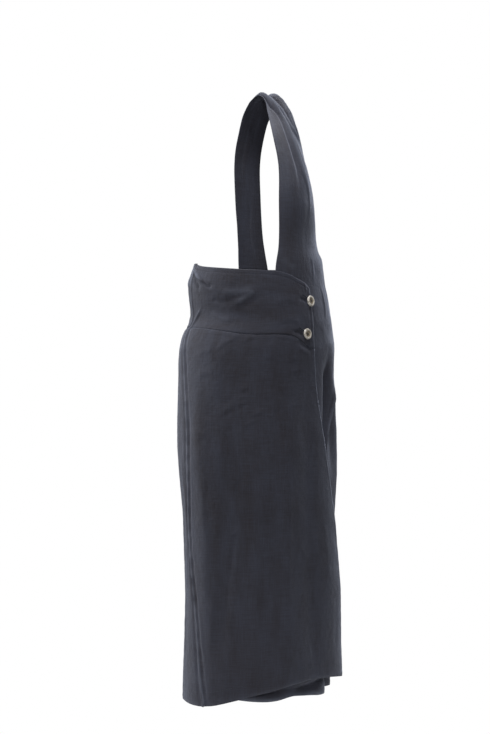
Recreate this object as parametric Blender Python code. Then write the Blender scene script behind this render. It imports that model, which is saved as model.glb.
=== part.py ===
import math
from collections import namedtuple

import bmesh
import bpy
from mathutils import Matrix, Vector

# One-shoulder overall skirt in its worn form. Metres, +Z up. The front faces -Y, the
# wearer's left is +X, and the origin is in the middle of the waist, on the waist line.
# A place on the skirt is an angle round the body, in degrees (0 at the wearer's left,
# -90 at the front, 90 at the back, 180 at the wearer's right), and a height.

CLOTH = 0.0014            # wall of the skirt and bib cloth
BAND_CLOTH = 0.0020       # wall of the doubled waistband
SEAM_GAP = 0.0003         # between two pieces that are sewn edge to edge
LAYER_GAP = 0.0009        # air between the wrap and the panel under it

SKIRT_TOP = -0.087        # rows of the skirt grids run between these two heights
SKIRT_FOOT = -0.765
SKIRT_ROWS = 20
BAND_ROWS = 4
BIB_ROWS = 16
WRAP_COLUMNS = 28
BACK_COLUMNS = 30
UNDER_COLUMNS = 6         # the part of the left front that only lies under the wrap
BIB_COLUMNS = 24
STRAP_COLUMNS = 12
STRAP_ROWS = 14

UNDER_EDGE = -145.0       # free edge of the left front, hidden under the wrap
BIB_INNER = -115.5        # where the bib's inner edge leaves the waistband
LEFT_SEAM = 2.0           # left side seam
FORM_RADIUS = 0.155       # turns an angle into a length along the cloth
HALF_GAP = math.degrees(SEAM_GAP / 2.0 / FORM_RADIUS)      # each side of a side seam
LEFT_RISES = (-45.0, -15.0)    # angles between which the left front comes level with the back
LIFT_START = 0.62         # share of the wrap's width where its edge starts to stand off
FOLD_BIRTH = (-0.12, 0.25)     # shares of a fold's length between which it rises
FOLD_DEATH = (0.8, 1.15)       # and dies away
SHARP_ANGLE = 40.0        # faces that meet at more than this are not shaded as one

BUTTON_WIDTH = 0.0205
BUTTON_HEIGHT = 0.0034
BUTTON_RIM = 0.0022       # width of the raised rim
BUTTON_DISH = 0.0010      # how deep the middle lies under the rim
BUTTON_BEVEL = 0.0008     # at the foot and the top of the rim
BUTTON_SLOPE = 0.0005     # from the rim down into the dish
BUTTON_HOLE = 0.0019      # diameter of each of the four holes
BUTTON_HOLE_PITCH = 0.0040
BUTTON_HOLE_SEGMENTS = 8
BUTTON_SEGMENTS = 28
BUTTON_SEAT = 0.0006      # from the waistband's face to the button's back
BUTTON_REACH = (3.0, 0.01)     # angle and height each side that set how the button lies

# Half widths of the body form to the wearer's right and left, and its depths in front
# and behind, at each height.
Section = namedtuple("Section", "height right left front back")
SECTIONS = [
    Section(0.046, 0.134, 0.146, 0.110, 0.111),
    Section(0.009, 0.145, 0.153, 0.114, 0.120),
    Section(-0.019, 0.144, 0.160, 0.118, 0.119),
    Section(-0.058, 0.142, 0.167, 0.123, 0.117),
    Section(-0.087, 0.157, 0.170, 0.125, 0.131),
    Section(-0.115, 0.166, 0.174, 0.127, 0.135),
    Section(-0.170, 0.171, 0.173, 0.125, 0.132),
    Section(-0.230, 0.174, 0.176, 0.126, 0.131),
    Section(-0.307, 0.175, 0.178, 0.128, 0.128),
    Section(-0.378, 0.171, 0.176, 0.126, 0.118),
    Section(-0.470, 0.166, 0.171, 0.123, 0.111),
    Section(-0.570, 0.164, 0.171, 0.123, 0.108),
    Section(-0.630, 0.164, 0.171, 0.125, 0.108),
    Section(-0.740, 0.167, 0.173, 0.127, 0.114),
    Section(-0.790, 0.168, 0.173, 0.127, 0.117),
]

# Angle of the right side seam and of the wrap's free edge at each height, and how far
# that edge stands off the form.
Seam = namedtuple("Seam", "height side edge lift")
SEAMS = [
    Seam(0.046, -206.0, -79.5, 0.0),
    Seam(-0.020, -205.0, -79.0, 0.0),
    Seam(-0.080, -203.0, -83.0, 0.0),
    Seam(-0.140, -198.0, -81.5, 0.0),
    Seam(-0.228, -191.0, -76.5, 0.0),
    Seam(-0.300, -188.5, -71.0, 0.001),
    Seam(-0.370, -190.5, -64.0, 0.003),
    Seam(-0.440, -193.0, -57.0, 0.008),
    Seam(-0.520, -190.0, -51.0, 0.012),
    Seam(-0.600, -183.5, -46.0, 0.014),
    Seam(-0.700, -177.5, -42.5, 0.013),
    Seam(-0.765, -172.5, -41.0, 0.013),
]

# Heights of the waistband's top and bottom edge and of the hem. Angles below -90 run on
# round the wearer's right to the side seam.
Edge = namedtuple("Edge", "angle top bottom hem")
FRONT_EDGES = [
    Edge(-206.0, 0.0475, -0.0730, -0.7760),
    Edge(-190.0, 0.0410, -0.0740, -0.7755),
    Edge(-167.0, 0.0365, -0.0790, -0.7730),
    Edge(-147.0, 0.0335, -0.0850, -0.7620),
    Edge(-134.0, 0.0325, -0.0875, -0.7535),
    Edge(-116.0, 0.0310, -0.0870, -0.7450),
    Edge(-104.0, 0.0255, -0.0895, -0.7385),
    Edge(-97.0, 0.0190, -0.0980, -0.7365),
    Edge(-91.0, 0.0135, -0.1080, -0.7350),
    Edge(-86.0, 0.0070, -0.1130, -0.7350),
    Edge(-79.0, -0.0090, -0.1140, -0.7355),
    Edge(-68.0, -0.0090, -0.1140, -0.7375),
    Edge(-41.0, -0.0090, -0.1140, -0.7480),
]
BACK_EDGES = [
    Edge(2.0, 0.0450, -0.0750, -0.7750),
    Edge(50.0, 0.0460, -0.0740, -0.7780),
    Edge(100.0, 0.0465, -0.0730, -0.7760),
    Edge(154.0, 0.0475, -0.0730, -0.7725),
    Edge(170.0, 0.0440, -0.0735, -0.7745),
    Edge(188.0, 0.0410, -0.0740, -0.7755),
]
LEFT_EDGES = [
    Edge(-145.0, 0.0230, -0.0880, -0.7600),
    Edge(-128.0, 0.0225, -0.0880, -0.7650),
    Edge(-115.5, 0.0220, -0.0880, -0.7655),
    Edge(-102.0, 0.0230, -0.0880, -0.7605),
    Edge(-90.0, 0.0260, -0.0870, -0.7630),
    Edge(-73.0, 0.0300, -0.0860, -0.7690),
    Edge(-45.0, 0.0370, -0.0820, -0.7700),
    Edge(2.0, 0.0450, -0.0750, -0.7750),
]

# Soft folds in the skirt, each a straight ridge (rise above 0) or trough on the form.
Fold = namedtuple("Fold", "top_angle top_height foot_angle foot_height width rise")
SKIRT_FOLDS = [
    Fold(-146.0, -0.270, -158.0, -0.660, 0.016, -0.0040),   # long trough, right of front
    Fold(-128.0, -0.330, -134.0, -0.750, 0.022, 0.0035),
    Fold(-106.0, -0.200, -108.0, -0.720, 0.018, 0.0030),    # ridge down the wrap's middle
    Fold(-92.0, -0.180, -84.0, -0.740, 0.018, -0.0030),
    Fold(-176.0, -0.180, -170.0, -0.700, 0.020, 0.0030),
    Fold(-64.0, -0.130, -58.0, -0.330, 0.018, -0.0050),     # hollow beside the wrap's edge
    Fold(-50.0, -0.150, -42.0, -0.480, 0.020, 0.0040),
    Fold(-16.0, -0.200, -22.0, -0.720, 0.024, 0.0035),
    Fold(28.0, -0.180, 24.0, -0.740, 0.022, -0.0045),
    Fold(48.0, -0.260, 46.0, -0.760, 0.022, 0.0045),
    Fold(74.0, -0.200, 72.0, -0.700, 0.024, -0.0050),
    Fold(96.0, -0.290, 98.0, -0.760, 0.022, 0.0040),
    Fold(122.0, -0.170, 118.0, -0.720, 0.024, -0.0050),
    Fold(150.0, -0.230, 148.0, -0.760, 0.020, 0.0020),
]
HOLLOW_FOLD = Fold(-46.0, -0.500, -46.0, -0.900, 0.040, -0.0280)   # under the wrap's corner

# The bib above the waistband and the strap behind it, as cross lines: a point on the inner
# edge, two between and one on the outer edge. Both meet in the shoulder seam.
Cross = namedtuple("Cross", "inner second third outer")
SHOULDER = Cross((0.062, 0.054, 0.388), (0.083, 0.050, 0.388), (0.108, 0.050, 0.381), (0.131, 0.058, 0.367))
BIB_LINES = [
    Cross((-0.061, -0.101, 0.022), (0.031, -0.1075, 0.030), (0.113, -0.069, 0.039), (0.1455, 0.004, 0.046)),
    Cross((-0.043, -0.0925, 0.090), (0.034, -0.097, 0.092), (0.108, -0.056, 0.090), (0.139, -0.005, 0.086)),
    Cross((-0.0365, -0.0865, 0.165), (0.042, -0.095, 0.165), (0.1045, -0.05, 0.16), (0.1305, -0.012, 0.152)),
    Cross((-0.017, -0.068, 0.233), (0.047, -0.078, 0.232), (0.099, -0.039, 0.228), (0.1235, -0.0095, 0.218)),
    Cross((0.002, -0.036, 0.297), (0.051, -0.045, 0.297), (0.094, -0.022, 0.292), (0.1215, 0.003, 0.280)),
    Cross((0.030, 0.001, 0.343), (0.063, -0.008, 0.344), (0.097, -0.002, 0.339), (0.126, 0.020, 0.325)),
    Cross((0.052, 0.028, 0.373), (0.076, 0.021, 0.373), (0.104, 0.022, 0.367), (0.129, 0.038, 0.351)),
    SHOULDER,
]
STRAP_LINES = [
    Cross((0.064, 0.081, 0.376), (0.086, 0.080, 0.378), (0.108, 0.079, 0.371), (0.129, 0.080, 0.359)),
    Cross((0.062, 0.101, 0.340), (0.084, 0.100, 0.339), (0.105, 0.098, 0.335), (0.125, 0.094, 0.327)),
    Cross((0.058, 0.116, 0.270), (0.079, 0.113, 0.269), (0.099, 0.109, 0.267), (0.118, 0.103, 0.263)),
    Cross((0.056, 0.113, 0.190), (0.076, 0.110, 0.190), (0.095, 0.105, 0.189), (0.113, 0.097, 0.187)),
    Cross((0.056, 0.106, 0.110), (0.075, 0.103, 0.110), (0.093, 0.097, 0.110), (0.110, 0.088, 0.110)),
    Cross((0.056, 0.1031, 0.0469), (0.075, 0.0965, 0.0466), (0.093, 0.087, 0.0463), (0.110, 0.0745, 0.046)),
]

OVER_SHOULDER = BIB_LINES + STRAP_LINES       # one strip, from the waist in front to behind
SHOULDER_LINE = len(BIB_LINES) - 1
STRAP_END = len(OVER_SHOULDER) - 1
BIB_WIDTH = 0.15          # about, to turn shares and lines into lengths along the cloth
LINE_STEP = 0.055
BIB_BLEND = 0.8           # cross lines over which the bib leaves the body form
GATHER_DEATH = (0.45, 1.1)      # shares of a gather's length between which it dies away
GATHER_SPREAD = 1.2       # how much wider a gather grows by its foot
GATHER_RUN_OVER = 1.2     # cross lines behind the shoulder seam that the gathers still reach

# Gathers that run down and outwards from the shoulder seam. Places are shares of the
# bib's width, from its inner edge, and cross lines, counted from the waistband.
Gather = namedtuple("Gather", "top_share foot_share foot_line width rise")
GATHERS = [
    Gather(0.03, 0.12, 3.6, 0.0075, -0.0030),
    Gather(0.08, 0.27, 3.1, 0.0085, 0.0060),
    Gather(0.29, 0.35, 3.8, 0.0085, -0.0045),
    Gather(0.46, 0.48, 3.8, 0.0085, 0.0055),
    Gather(0.60, 0.60, 4.4, 0.0070, -0.0030),
    Gather(0.70, 0.73, 4.4, 0.0075, 0.0040),
    Gather(0.80, 0.83, 4.8, 0.0070, -0.0030),
    Gather(0.90, 0.92, 4.8, 0.0075, 0.0035),
]

# Buttons on the waistband's end, each an angle and a height.
Button = namedtuple("Button", "name angle height")
BUTTONS = [
    Button("button_upper", -84.5, -0.0240),
    Button("button_lower", -90.5, -0.0860),
]


def smooth(low, high, value):
    share = min(1.0, max(0.0, (value - low) / (high - low)))
    return share * share * (3.0 - 2.0 * share)


def curve_at(places, values, place):
    """Smooth curve through values at rising places, level past its two ends."""
    if place <= places[0]:
        return values[0]
    if place >= places[-1]:
        return values[-1]
    i = max(k for k in range(len(places) - 1) if places[k] <= place)

    def slope(k):
        first, last = max(k - 1, 0), min(k + 1, len(places) - 1)
        return (values[last] - values[first]) / (places[last] - places[first])

    span = places[i + 1] - places[i]
    s = (place - places[i]) / span
    rise = values[i + 1] - values[i]
    start, end = slope(i) * span, slope(i + 1) * span
    return values[i] + s * (start + s * (3.0 * rise - 2.0 * start - end + s * (start + end - 2.0 * rise)))


def columns_of(table, key):
    """The table's columns as lists by name, in rising order of the key column."""
    rows = sorted(table, key=lambda row: getattr(row, key))
    return {name: [getattr(row, name) for row in rows] for name in rows[0]._fields}


SECTION_COLUMNS = columns_of(SECTIONS, "height")
SEAM_COLUMNS = columns_of(SEAMS, "height")
FRONT_COLUMNS = columns_of(FRONT_EDGES, "angle")
BACK_EDGE_COLUMNS = columns_of(BACK_EDGES, "angle")
LEFT_COLUMNS = columns_of(LEFT_EDGES, "angle")


def at(columns, key, name, place):
    return curve_at(columns[key], columns[name], place)


def seam_at(name, height):
    return at(SEAM_COLUMNS, "height", name, height)


def fold_rise(fold, angle, height):
    """How far one fold lifts the cloth: a soft ridge along its line, faded at both ends."""
    across = math.radians(fold.foot_angle - fold.top_angle) * FORM_RADIUS
    down = fold.foot_height - fold.top_height
    length = math.hypot(across, down)
    right = math.radians(angle - fold.top_angle) * FORM_RADIUS
    below = height - fold.top_height
    share = (right * across + below * down) / length ** 2
    offset = (right * down - below * across) / length
    fade = smooth(*FOLD_BIRTH, share) * (1.0 - smooth(*FOLD_DEATH, share))
    return fold.rise * fade * math.exp(-(offset / fold.width) ** 2)


def form_point(angle, height, out):
    """A point that stands `out` metres off the body form, with the skirt's folds in it."""
    folds = sum(fold_rise(fold, angle, height) for fold in SKIRT_FOLDS)
    half = "left" if math.cos(math.radians(angle)) > 0.0 else "right"
    side = "back" if math.sin(math.radians(angle)) > 0.0 else "front"
    width = at(SECTION_COLUMNS, "height", half, height)
    depth = at(SECTION_COLUMNS, "height", side, height)
    cosine, sine = math.cos(math.radians(angle)), math.sin(math.radians(angle))
    normal = Vector((cosine / width, sine / depth, 0.0)).normalized()
    return Vector((width * cosine, depth * sine, height)) + normal * (out + folds)


def four_point_curve(points, share):
    """The cubic curve that passes through four points at shares 0, 1/3, 2/3 and 1."""
    s = 3.0 * share
    weights = (
        -(s - 1.0) * (s - 2.0) * (s - 3.0) / 6.0,
        s * (s - 2.0) * (s - 3.0) / 2.0,
        -s * (s - 1.0) * (s - 3.0) / 2.0,
        s * (s - 1.0) * (s - 2.0) / 6.0,
    )
    return sum((point * weight for point, weight in zip(points, weights)), Vector())


def strip_point(share, line):
    """A point of the strip over the shoulder, at a share of its width and a cross line."""
    places = list(range(len(OVER_SHOULDER)))
    threads = []
    for name in Cross._fields:
        ends = [getattr(cross, name) for cross in OVER_SHOULDER]
        threads.append(Vector([curve_at(places, [end[axis] for end in ends], line) for axis in range(3)]))
    return four_point_curve(threads, share)


def strip_normal(share, line, step=0.02):
    across = strip_point(share + step, line) - strip_point(share - step, line)
    along = strip_point(share, line + step) - strip_point(share, line - step)
    return across.cross(along).normalized()


def gather_rise(share, line):
    """Lift of the gathers, which start at the shoulder seam and fade out down the bib."""
    above = max(line - SHOULDER_LINE, 0.0)
    fade = 1.0 - smooth(0.0, GATHER_RUN_OVER, above)
    total = 0.0
    for gather in GATHERS:
        across = (gather.foot_share - gather.top_share) * BIB_WIDTH
        down = (SHOULDER_LINE - gather.foot_line) * LINE_STEP
        run = math.hypot(across, down)
        right = (share - gather.top_share) * BIB_WIDTH
        below = (SHOULDER_LINE - line + above) * LINE_STEP
        place = (right * across + below * down) / run ** 2
        offset = (right * down - below * across) / run
        spread = gather.width * (1.0 + GATHER_SPREAD * max(place, 0.0))
        total += gather.rise * (1.0 - smooth(*GATHER_DEATH, place)) * math.exp(-(offset / spread) ** 2)
    return total * fade


def strip_surface(share, line, out):
    return strip_point(share, line) + strip_normal(share, line) * (out + gather_rise(share, line))


def left_out(angle):
    """The left front lies a layer below the wrap, and level with the back at its side seam."""
    return -(CLOTH + LAYER_GAP) * (1.0 - smooth(*LEFT_RISES, angle))


def bib_point(share, line, out):
    """The bib leaves the body form at the waistband and blends into the strip."""
    angle = BIB_INNER + (LEFT_SEAM - BIB_INNER) * share
    strip = strip_surface(share, line, out)
    form = form_point(angle, strip.z, out + left_out(angle))
    return form.lerp(strip, smooth(0.0, BIB_BLEND, line))


def material(name, colour, roughness, metallic=0.0):
    new = bpy.data.materials.new(name)
    new.use_nodes = True
    shader = new.node_tree.nodes["Principled BSDF"]
    shader.inputs["Base Color"].default_value = (*colour, 1.0)
    shader.inputs["Roughness"].default_value = roughness
    shader.inputs["Metallic"].default_value = metallic
    return new


def new_object(name, body, look):
    mesh = bpy.data.meshes.new(name)
    body.to_mesh(mesh)
    body.free()
    made = bpy.data.objects.new(name, mesh)
    made.data.materials.append(look)
    bpy.context.scene.collection.objects.link(made)
    return made


def cloth_wall(name, outer, inner, look):
    """A closed wall between two grids of points. A point is None where the piece is cut away."""
    body = bmesh.new()
    outside, inside = [[[point and body.verts.new(point) for point in row] for row in grid]
                       for grid in (outer, inner)]
    for grid, step in ((outside, 1), (inside, -1)):
        for low, high in zip(grid, grid[1:]):
            for corners in zip(low, low[1:], high[1:], high):
                if all(corners):
                    body.faces.new(corners[::step])
    pairs = {vert: inside[j][i] for j, row in enumerate(outside) for i, vert in enumerate(row) if vert}
    rims = [edge for edge in body.edges if edge.is_boundary and edge.verts[0] in pairs]
    for edge in rims:
        start, end = edge.verts
        body.faces.new((start, end, pairs[end], pairs[start]))
    bmesh.ops.recalc_face_normals(body, faces=body.faces[:])
    made = new_object(name, body, look)
    made.data.shade_smooth()
    made.data.set_sharp_from_angle(angle=math.radians(SHARP_ANGLE))
    return made


def rows_between(count):
    return [j / count for j in range(count + 1)]


def wrap_grid(rows, columns, first, last, top, foot, out, lift=False):
    """Points from the right side seam to the wrap's edge, between two named edge lines."""
    grid = []
    for down in rows:
        level = first + (last - first) * down
        start = seam_at("side", level) + HALF_GAP
        end = seam_at("edge", level)
        row = []
        for share in columns:
            angle = start + (end - start) * share
            height = top(angle) + (foot(angle) - top(angle)) * down
            stand = seam_at("lift", level) * smooth(LIFT_START, 1.0, share) if lift else 0.0
            row.append(form_point(angle, height, out + stand))
        grid.append(row)
    return grid


def front_line(name, shift=0.0):
    return lambda angle: at(FRONT_COLUMNS, "angle", name, angle) + shift


def back_line(name, shift=0.0):
    return lambda angle: at(BACK_EDGE_COLUMNS, "angle", name, angle) + shift


def left_line(name):
    return lambda angle: at(LEFT_COLUMNS, "angle", name, angle)


def right_front_panel(look):
    rows, columns = rows_between(SKIRT_ROWS), rows_between(WRAP_COLUMNS)
    ends = (SKIRT_TOP, SKIRT_FOOT, front_line("bottom", -SEAM_GAP), front_line("hem"))
    outer = wrap_grid(rows, columns, *ends, 0.0, lift=True)
    inner = wrap_grid(rows, columns, *ends, -CLOTH, lift=True)
    return cloth_wall("right_front_panel", outer, inner, look)


def waistband_front(look):
    rows, columns = rows_between(BAND_ROWS), rows_between(WRAP_COLUMNS)
    ends = (SKIRT_TOP, SKIRT_TOP, front_line("top"), front_line("bottom"))
    proud = BAND_CLOTH - CLOTH
    outer = wrap_grid(rows, columns, *ends, proud)
    inner = wrap_grid(rows, columns, *ends, proud - BAND_CLOTH)
    return cloth_wall("waistband_front", outer, inner, look)


def back_grid(rows, columns, first, last, top, foot, out):
    """Points from the left side seam round the back to the right side seam."""
    grid = []
    for down in rows:
        level = first + (last - first) * down
        start = LEFT_SEAM + HALF_GAP
        end = seam_at("side", level) + 360.0 - HALF_GAP
        angles = [start + (end - start) * share for share in columns]
        grid.append([form_point(angle, top(angle) + (foot(angle) - top(angle)) * down, out)
                     for angle in angles])
    return grid


def back_skirt_panel(look):
    rows, columns = rows_between(SKIRT_ROWS), rows_between(BACK_COLUMNS)
    ends = (SKIRT_TOP, SKIRT_FOOT, back_line("bottom", -SEAM_GAP), back_line("hem"))
    return cloth_wall("back_skirt_panel", back_grid(rows, columns, *ends, 0.0),
                      back_grid(rows, columns, *ends, -CLOTH), look)


def waistband_back(look):
    rows, columns = rows_between(BAND_ROWS), rows_between(BACK_COLUMNS)
    ends = (SKIRT_TOP, SKIRT_TOP, back_line("top"), back_line("bottom"))
    proud = BAND_CLOTH - CLOTH
    return cloth_wall("waistband_back", back_grid(rows, columns, *ends, proud),
                      back_grid(rows, columns, *ends, proud - BAND_CLOTH), look)


def left_front_grid(out):
    """Skirt, waist and bib of the left front, cut in one, from the hem to the shoulder."""
    last = LEFT_SEAM - HALF_GAP
    under = [UNDER_EDGE + (BIB_INNER - UNDER_EDGE) * i / UNDER_COLUMNS for i in range(UNDER_COLUMNS)]
    shown = [BIB_INNER + (last - BIB_INNER) * i / BIB_COLUMNS for i in range(BIB_COLUMNS + 1)]
    hem, waist, top = left_line("hem"), left_line("bottom"), left_line("top")
    grid = []
    for low, high, count in ((hem, waist, SKIRT_ROWS), (waist, top, BAND_ROWS)):
        for j in range(count):
            row = []
            for angle in under + shown:
                height = low(angle) + (high(angle) - low(angle)) * j / count
                tuck = fold_rise(HOLLOW_FOLD, angle, height)
                row.append(form_point(angle, height, out + left_out(angle) + tuck))
            grid.append(row)
    grid.append([form_point(angle, top(angle), out + left_out(angle)) for angle in under + shown])
    for j in range(1, BIB_ROWS + 1):
        line = SHOULDER_LINE * j / BIB_ROWS
        bib = [bib_point(i / BIB_COLUMNS, line, out) for i in range(BIB_COLUMNS + 1)]
        grid.append([None] * UNDER_COLUMNS + bib)
    return grid


def left_front_panel(look):
    return cloth_wall("left_front_panel", left_front_grid(0.0), left_front_grid(-CLOTH), look)


def back_strap_grid(out):
    first = SHOULDER_LINE + SEAM_GAP / LINE_STEP
    lines = [first + (STRAP_END - first) * j / STRAP_ROWS for j in range(STRAP_ROWS + 1)]
    return [[strip_surface(i / STRAP_COLUMNS, line, out) for i in range(STRAP_COLUMNS + 1)]
            for line in lines]


def back_strap(look):
    return cloth_wall("back_strap", back_strap_grid(0.0), back_strap_grid(-CLOTH), look)


def button(spec, look):
    """A sew-through button with a raised rim and four holes, flat on the waistband."""
    radius = BUTTON_WIDTH / 2.0
    dish = radius - BUTTON_RIM
    profile = [
        (0.0, 0.0), (radius - BUTTON_BEVEL, 0.0), (radius, BUTTON_BEVEL),
        (radius, BUTTON_HEIGHT - BUTTON_BEVEL), (radius - BUTTON_BEVEL, BUTTON_HEIGHT),
        (dish + BUTTON_SLOPE, BUTTON_HEIGHT), (dish, BUTTON_HEIGHT - BUTTON_DISH),
        (0.0, BUTTON_HEIGHT - BUTTON_DISH),
    ]
    body = bmesh.new()
    verts = [body.verts.new((x, 0.0, z)) for x, z in profile]
    edges = [body.edges.new(pair) for pair in zip(verts, verts[1:])]
    bmesh.ops.spin(body, geom=verts + edges, cent=(0.0, 0.0, 0.0), axis=(0.0, 0.0, 1.0),
                   angle=2.0 * math.pi, steps=BUTTON_SEGMENTS, use_merge=True)
    bmesh.ops.remove_doubles(body, verts=body.verts[:], dist=0.00001)
    bmesh.ops.recalc_face_normals(body, faces=body.faces[:])
    made = new_object(spec.name, body, look)
    made.matrix_world = button_place(spec)
    cut_button_holes(made)
    return made


def button_place(spec):
    """Where the button lies, turned to face straight out of the waistband."""
    proud = BAND_CLOTH - CLOTH
    aside, along = BUTTON_REACH
    centre = form_point(spec.angle, spec.height, proud + BUTTON_SEAT)
    left, right = [form_point(spec.angle + side * aside, spec.height, proud) for side in (-1.0, 1.0)]
    below, above = [form_point(spec.angle, spec.height + side * along, proud) for side in (-1.0, 1.0)]
    across = right - left
    outward = across.cross(above - below).normalized()
    across.normalize()
    turn = Matrix((across, outward.cross(across), outward)).transposed()
    return Matrix.Translation(centre) @ turn.to_4x4()


def cut_button_holes(made):
    """One cutter of four rods, taken out of the button."""
    body = bmesh.new()
    for x in (-0.5, 0.5):
        for y in (-0.5, 0.5):
            place = Matrix.Translation((x * BUTTON_HOLE_PITCH, y * BUTTON_HOLE_PITCH, BUTTON_HEIGHT / 2.0))
            bmesh.ops.create_cone(body, cap_ends=True, segments=BUTTON_HOLE_SEGMENTS,
                                  radius1=BUTTON_HOLE / 2.0, radius2=BUTTON_HOLE / 2.0,
                                  depth=2.0 * BUTTON_HEIGHT, matrix=place)
    cutter = new_object(made.name + "_holes", body, made.data.materials[0])
    cutter.matrix_world = made.matrix_world
    cutter.hide_render = True
    cutter.display_type = "WIRE"
    cut = made.modifiers.new("holes", "BOOLEAN")
    cut.operation = "DIFFERENCE"
    cut.object = cutter


def build():
    for old in list(bpy.data.objects):
        bpy.data.objects.remove(old, do_unlink=True)
    colours = {
        "wrap": (0.012, 0.016, 0.028),
        "under": (0.014, 0.018, 0.032),
        "band": (0.011, 0.015, 0.026),
    }
    linen = {name: material("linen_" + name, colour, 0.85) for name, colour in colours.items()}
    right_front_panel(linen["wrap"])
    left_front_panel(linen["under"])
    back_skirt_panel(linen["wrap"])
    waistband_front(linen["band"])
    waistband_back(linen["band"])
    back_strap(linen["under"])
    for spec in BUTTONS:
        button(spec, material("horn_" + spec.name, (0.45, 0.42, 0.38), 0.35))


build()
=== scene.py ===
import math

import bmesh
import bpy
import numpy as np
from mathutils import Matrix, Vector, noise


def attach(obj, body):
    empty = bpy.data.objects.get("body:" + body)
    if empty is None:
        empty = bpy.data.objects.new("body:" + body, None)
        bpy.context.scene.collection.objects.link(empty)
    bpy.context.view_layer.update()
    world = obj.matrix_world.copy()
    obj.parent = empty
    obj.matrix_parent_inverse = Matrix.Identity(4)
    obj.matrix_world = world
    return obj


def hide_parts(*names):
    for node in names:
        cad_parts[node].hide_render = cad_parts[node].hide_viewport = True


# One-shoulder overall skirt of dark linen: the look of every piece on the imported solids.
# Metres, the front faces -Y and the wearer's left is +X. A place on the skirt is an angle
# round the body in degrees (0 wearer's left, -90 front, 90 back) and a height.

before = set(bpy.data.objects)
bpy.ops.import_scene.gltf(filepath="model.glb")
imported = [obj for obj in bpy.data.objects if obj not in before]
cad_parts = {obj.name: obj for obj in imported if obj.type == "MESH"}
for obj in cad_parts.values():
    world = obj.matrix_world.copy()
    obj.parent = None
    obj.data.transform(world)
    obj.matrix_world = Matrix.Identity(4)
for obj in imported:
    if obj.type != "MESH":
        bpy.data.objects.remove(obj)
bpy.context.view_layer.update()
print("frame loaded:", ", ".join(sorted(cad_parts)))


def columns(names, rows):
    # A table's columns by name, its rows in rising order of the first one.
    return dict(zip(names.split(), (np.array(values) for values in zip(*sorted(rows)))))


# Sizes that all pieces share, as in the part's source.
garment = {
    "clothWall": 0.0014,
    "bandWall": 0.0020,
    "seamGap": 0.0001,
    "seamBlend": 0.035,        # beside the right seam, over which the back's creases take over
    "layerGap": 0.0009,        # air between the wrap and the panel under it
    "formRadius": 0.155,       # turns an angle into a length along the cloth
    "bandLevel": -0.087,
    "skirtFoot": -0.765,
    "liftStart": 0.62,         # share of the wrap's width where its edge starts to stand off
    "underEdge": -145.0,       # free edge of the left front, hidden under the wrap
    "bibInner": -115.5,
    "leftSeam": 2.0,
}
bandHeight = 0.12
bandProud = garment["bandWall"] - garment["clothWall"]
layeredBelow = -45.0           # from this angle on the left front lies a full layer under the wrap

sections = columns("height right left front back", [
    (0.046, 0.134, 0.146, 0.110, 0.111),
    (0.009, 0.145, 0.153, 0.114, 0.120),
    (-0.019, 0.144, 0.160, 0.118, 0.119),
    (-0.058, 0.142, 0.167, 0.123, 0.117),
    (-0.087, 0.157, 0.170, 0.125, 0.131),
    (-0.115, 0.166, 0.174, 0.127, 0.135),
    (-0.170, 0.171, 0.173, 0.125, 0.132),
    (-0.230, 0.174, 0.176, 0.126, 0.131),
    (-0.307, 0.175, 0.178, 0.128, 0.128),
    (-0.378, 0.171, 0.176, 0.126, 0.118),
    (-0.470, 0.166, 0.171, 0.123, 0.111),
    (-0.570, 0.164, 0.171, 0.123, 0.108),
    (-0.630, 0.164, 0.171, 0.125, 0.108),
    (-0.740, 0.167, 0.173, 0.127, 0.114),
    (-0.790, 0.168, 0.173, 0.127, 0.117),
])

# Angle of the right side seam and of the wrap's free edge, and how far that edge stands off.
seams = columns("height side edge lift", [
    (0.046, -206.0, -79.5, 0.0),
    (-0.020, -205.0, -79.0, 0.0),
    (-0.080, -203.0, -83.0, 0.0),
    (-0.140, -198.0, -81.5, 0.0),
    (-0.228, -191.0, -76.5, 0.0),
    (-0.300, -188.5, -71.0, 0.001),
    (-0.370, -190.5, -64.0, 0.003),
    (-0.440, -193.0, -57.0, 0.008),
    (-0.520, -190.0, -51.0, 0.012),
    (-0.600, -183.5, -46.0, 0.014),
    (-0.700, -177.5, -42.5, 0.013),
    (-0.765, -172.5, -41.0, 0.013),
])

frontEdges = columns("angle top bottom hem", [
    (-206.0, 0.0475, -0.0730, -0.7760),
    (-190.0, 0.0410, -0.0740, -0.7755),
    (-167.0, 0.0365, -0.0790, -0.7730),
    (-147.0, 0.0335, -0.0850, -0.7620),
    (-134.0, 0.0325, -0.0875, -0.7535),
    (-116.0, 0.0310, -0.0870, -0.7450),
    (-104.0, 0.0255, -0.0895, -0.7385),
    (-97.0, 0.0190, -0.0980, -0.7365),
    (-91.0, 0.0135, -0.1080, -0.7350),
    (-86.0, 0.0070, -0.1130, -0.7350),
    (-79.0, -0.0090, -0.1140, -0.7355),
    (-68.0, -0.0090, -0.1140, -0.7375),
    (-41.0, -0.0090, -0.1140, -0.7480),
])
backEdges = columns("angle top bottom hem", [
    (2.0, 0.0450, -0.0750, -0.7750),
    (50.0, 0.0460, -0.0740, -0.7780),
    (100.0, 0.0465, -0.0730, -0.7760),
    (154.0, 0.0475, -0.0730, -0.7725),
    (170.0, 0.0440, -0.0735, -0.7745),
    (188.0, 0.0410, -0.0740, -0.7755),
])
leftEdges = columns("angle top bottom hem", [
    (-145.0, 0.0230, -0.0880, -0.7600),
    (-128.0, 0.0225, -0.0880, -0.7650),
    (-115.5, 0.0220, -0.0880, -0.7655),
    (-102.0, 0.0230, -0.0880, -0.7605),
    (-90.0, 0.0260, -0.0870, -0.7630),
    (-73.0, 0.0300, -0.0860, -0.7690),
    (-45.0, 0.0370, -0.0820, -0.7700),
    (2.0, 0.0450, -0.0750, -0.7750),
])

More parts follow.
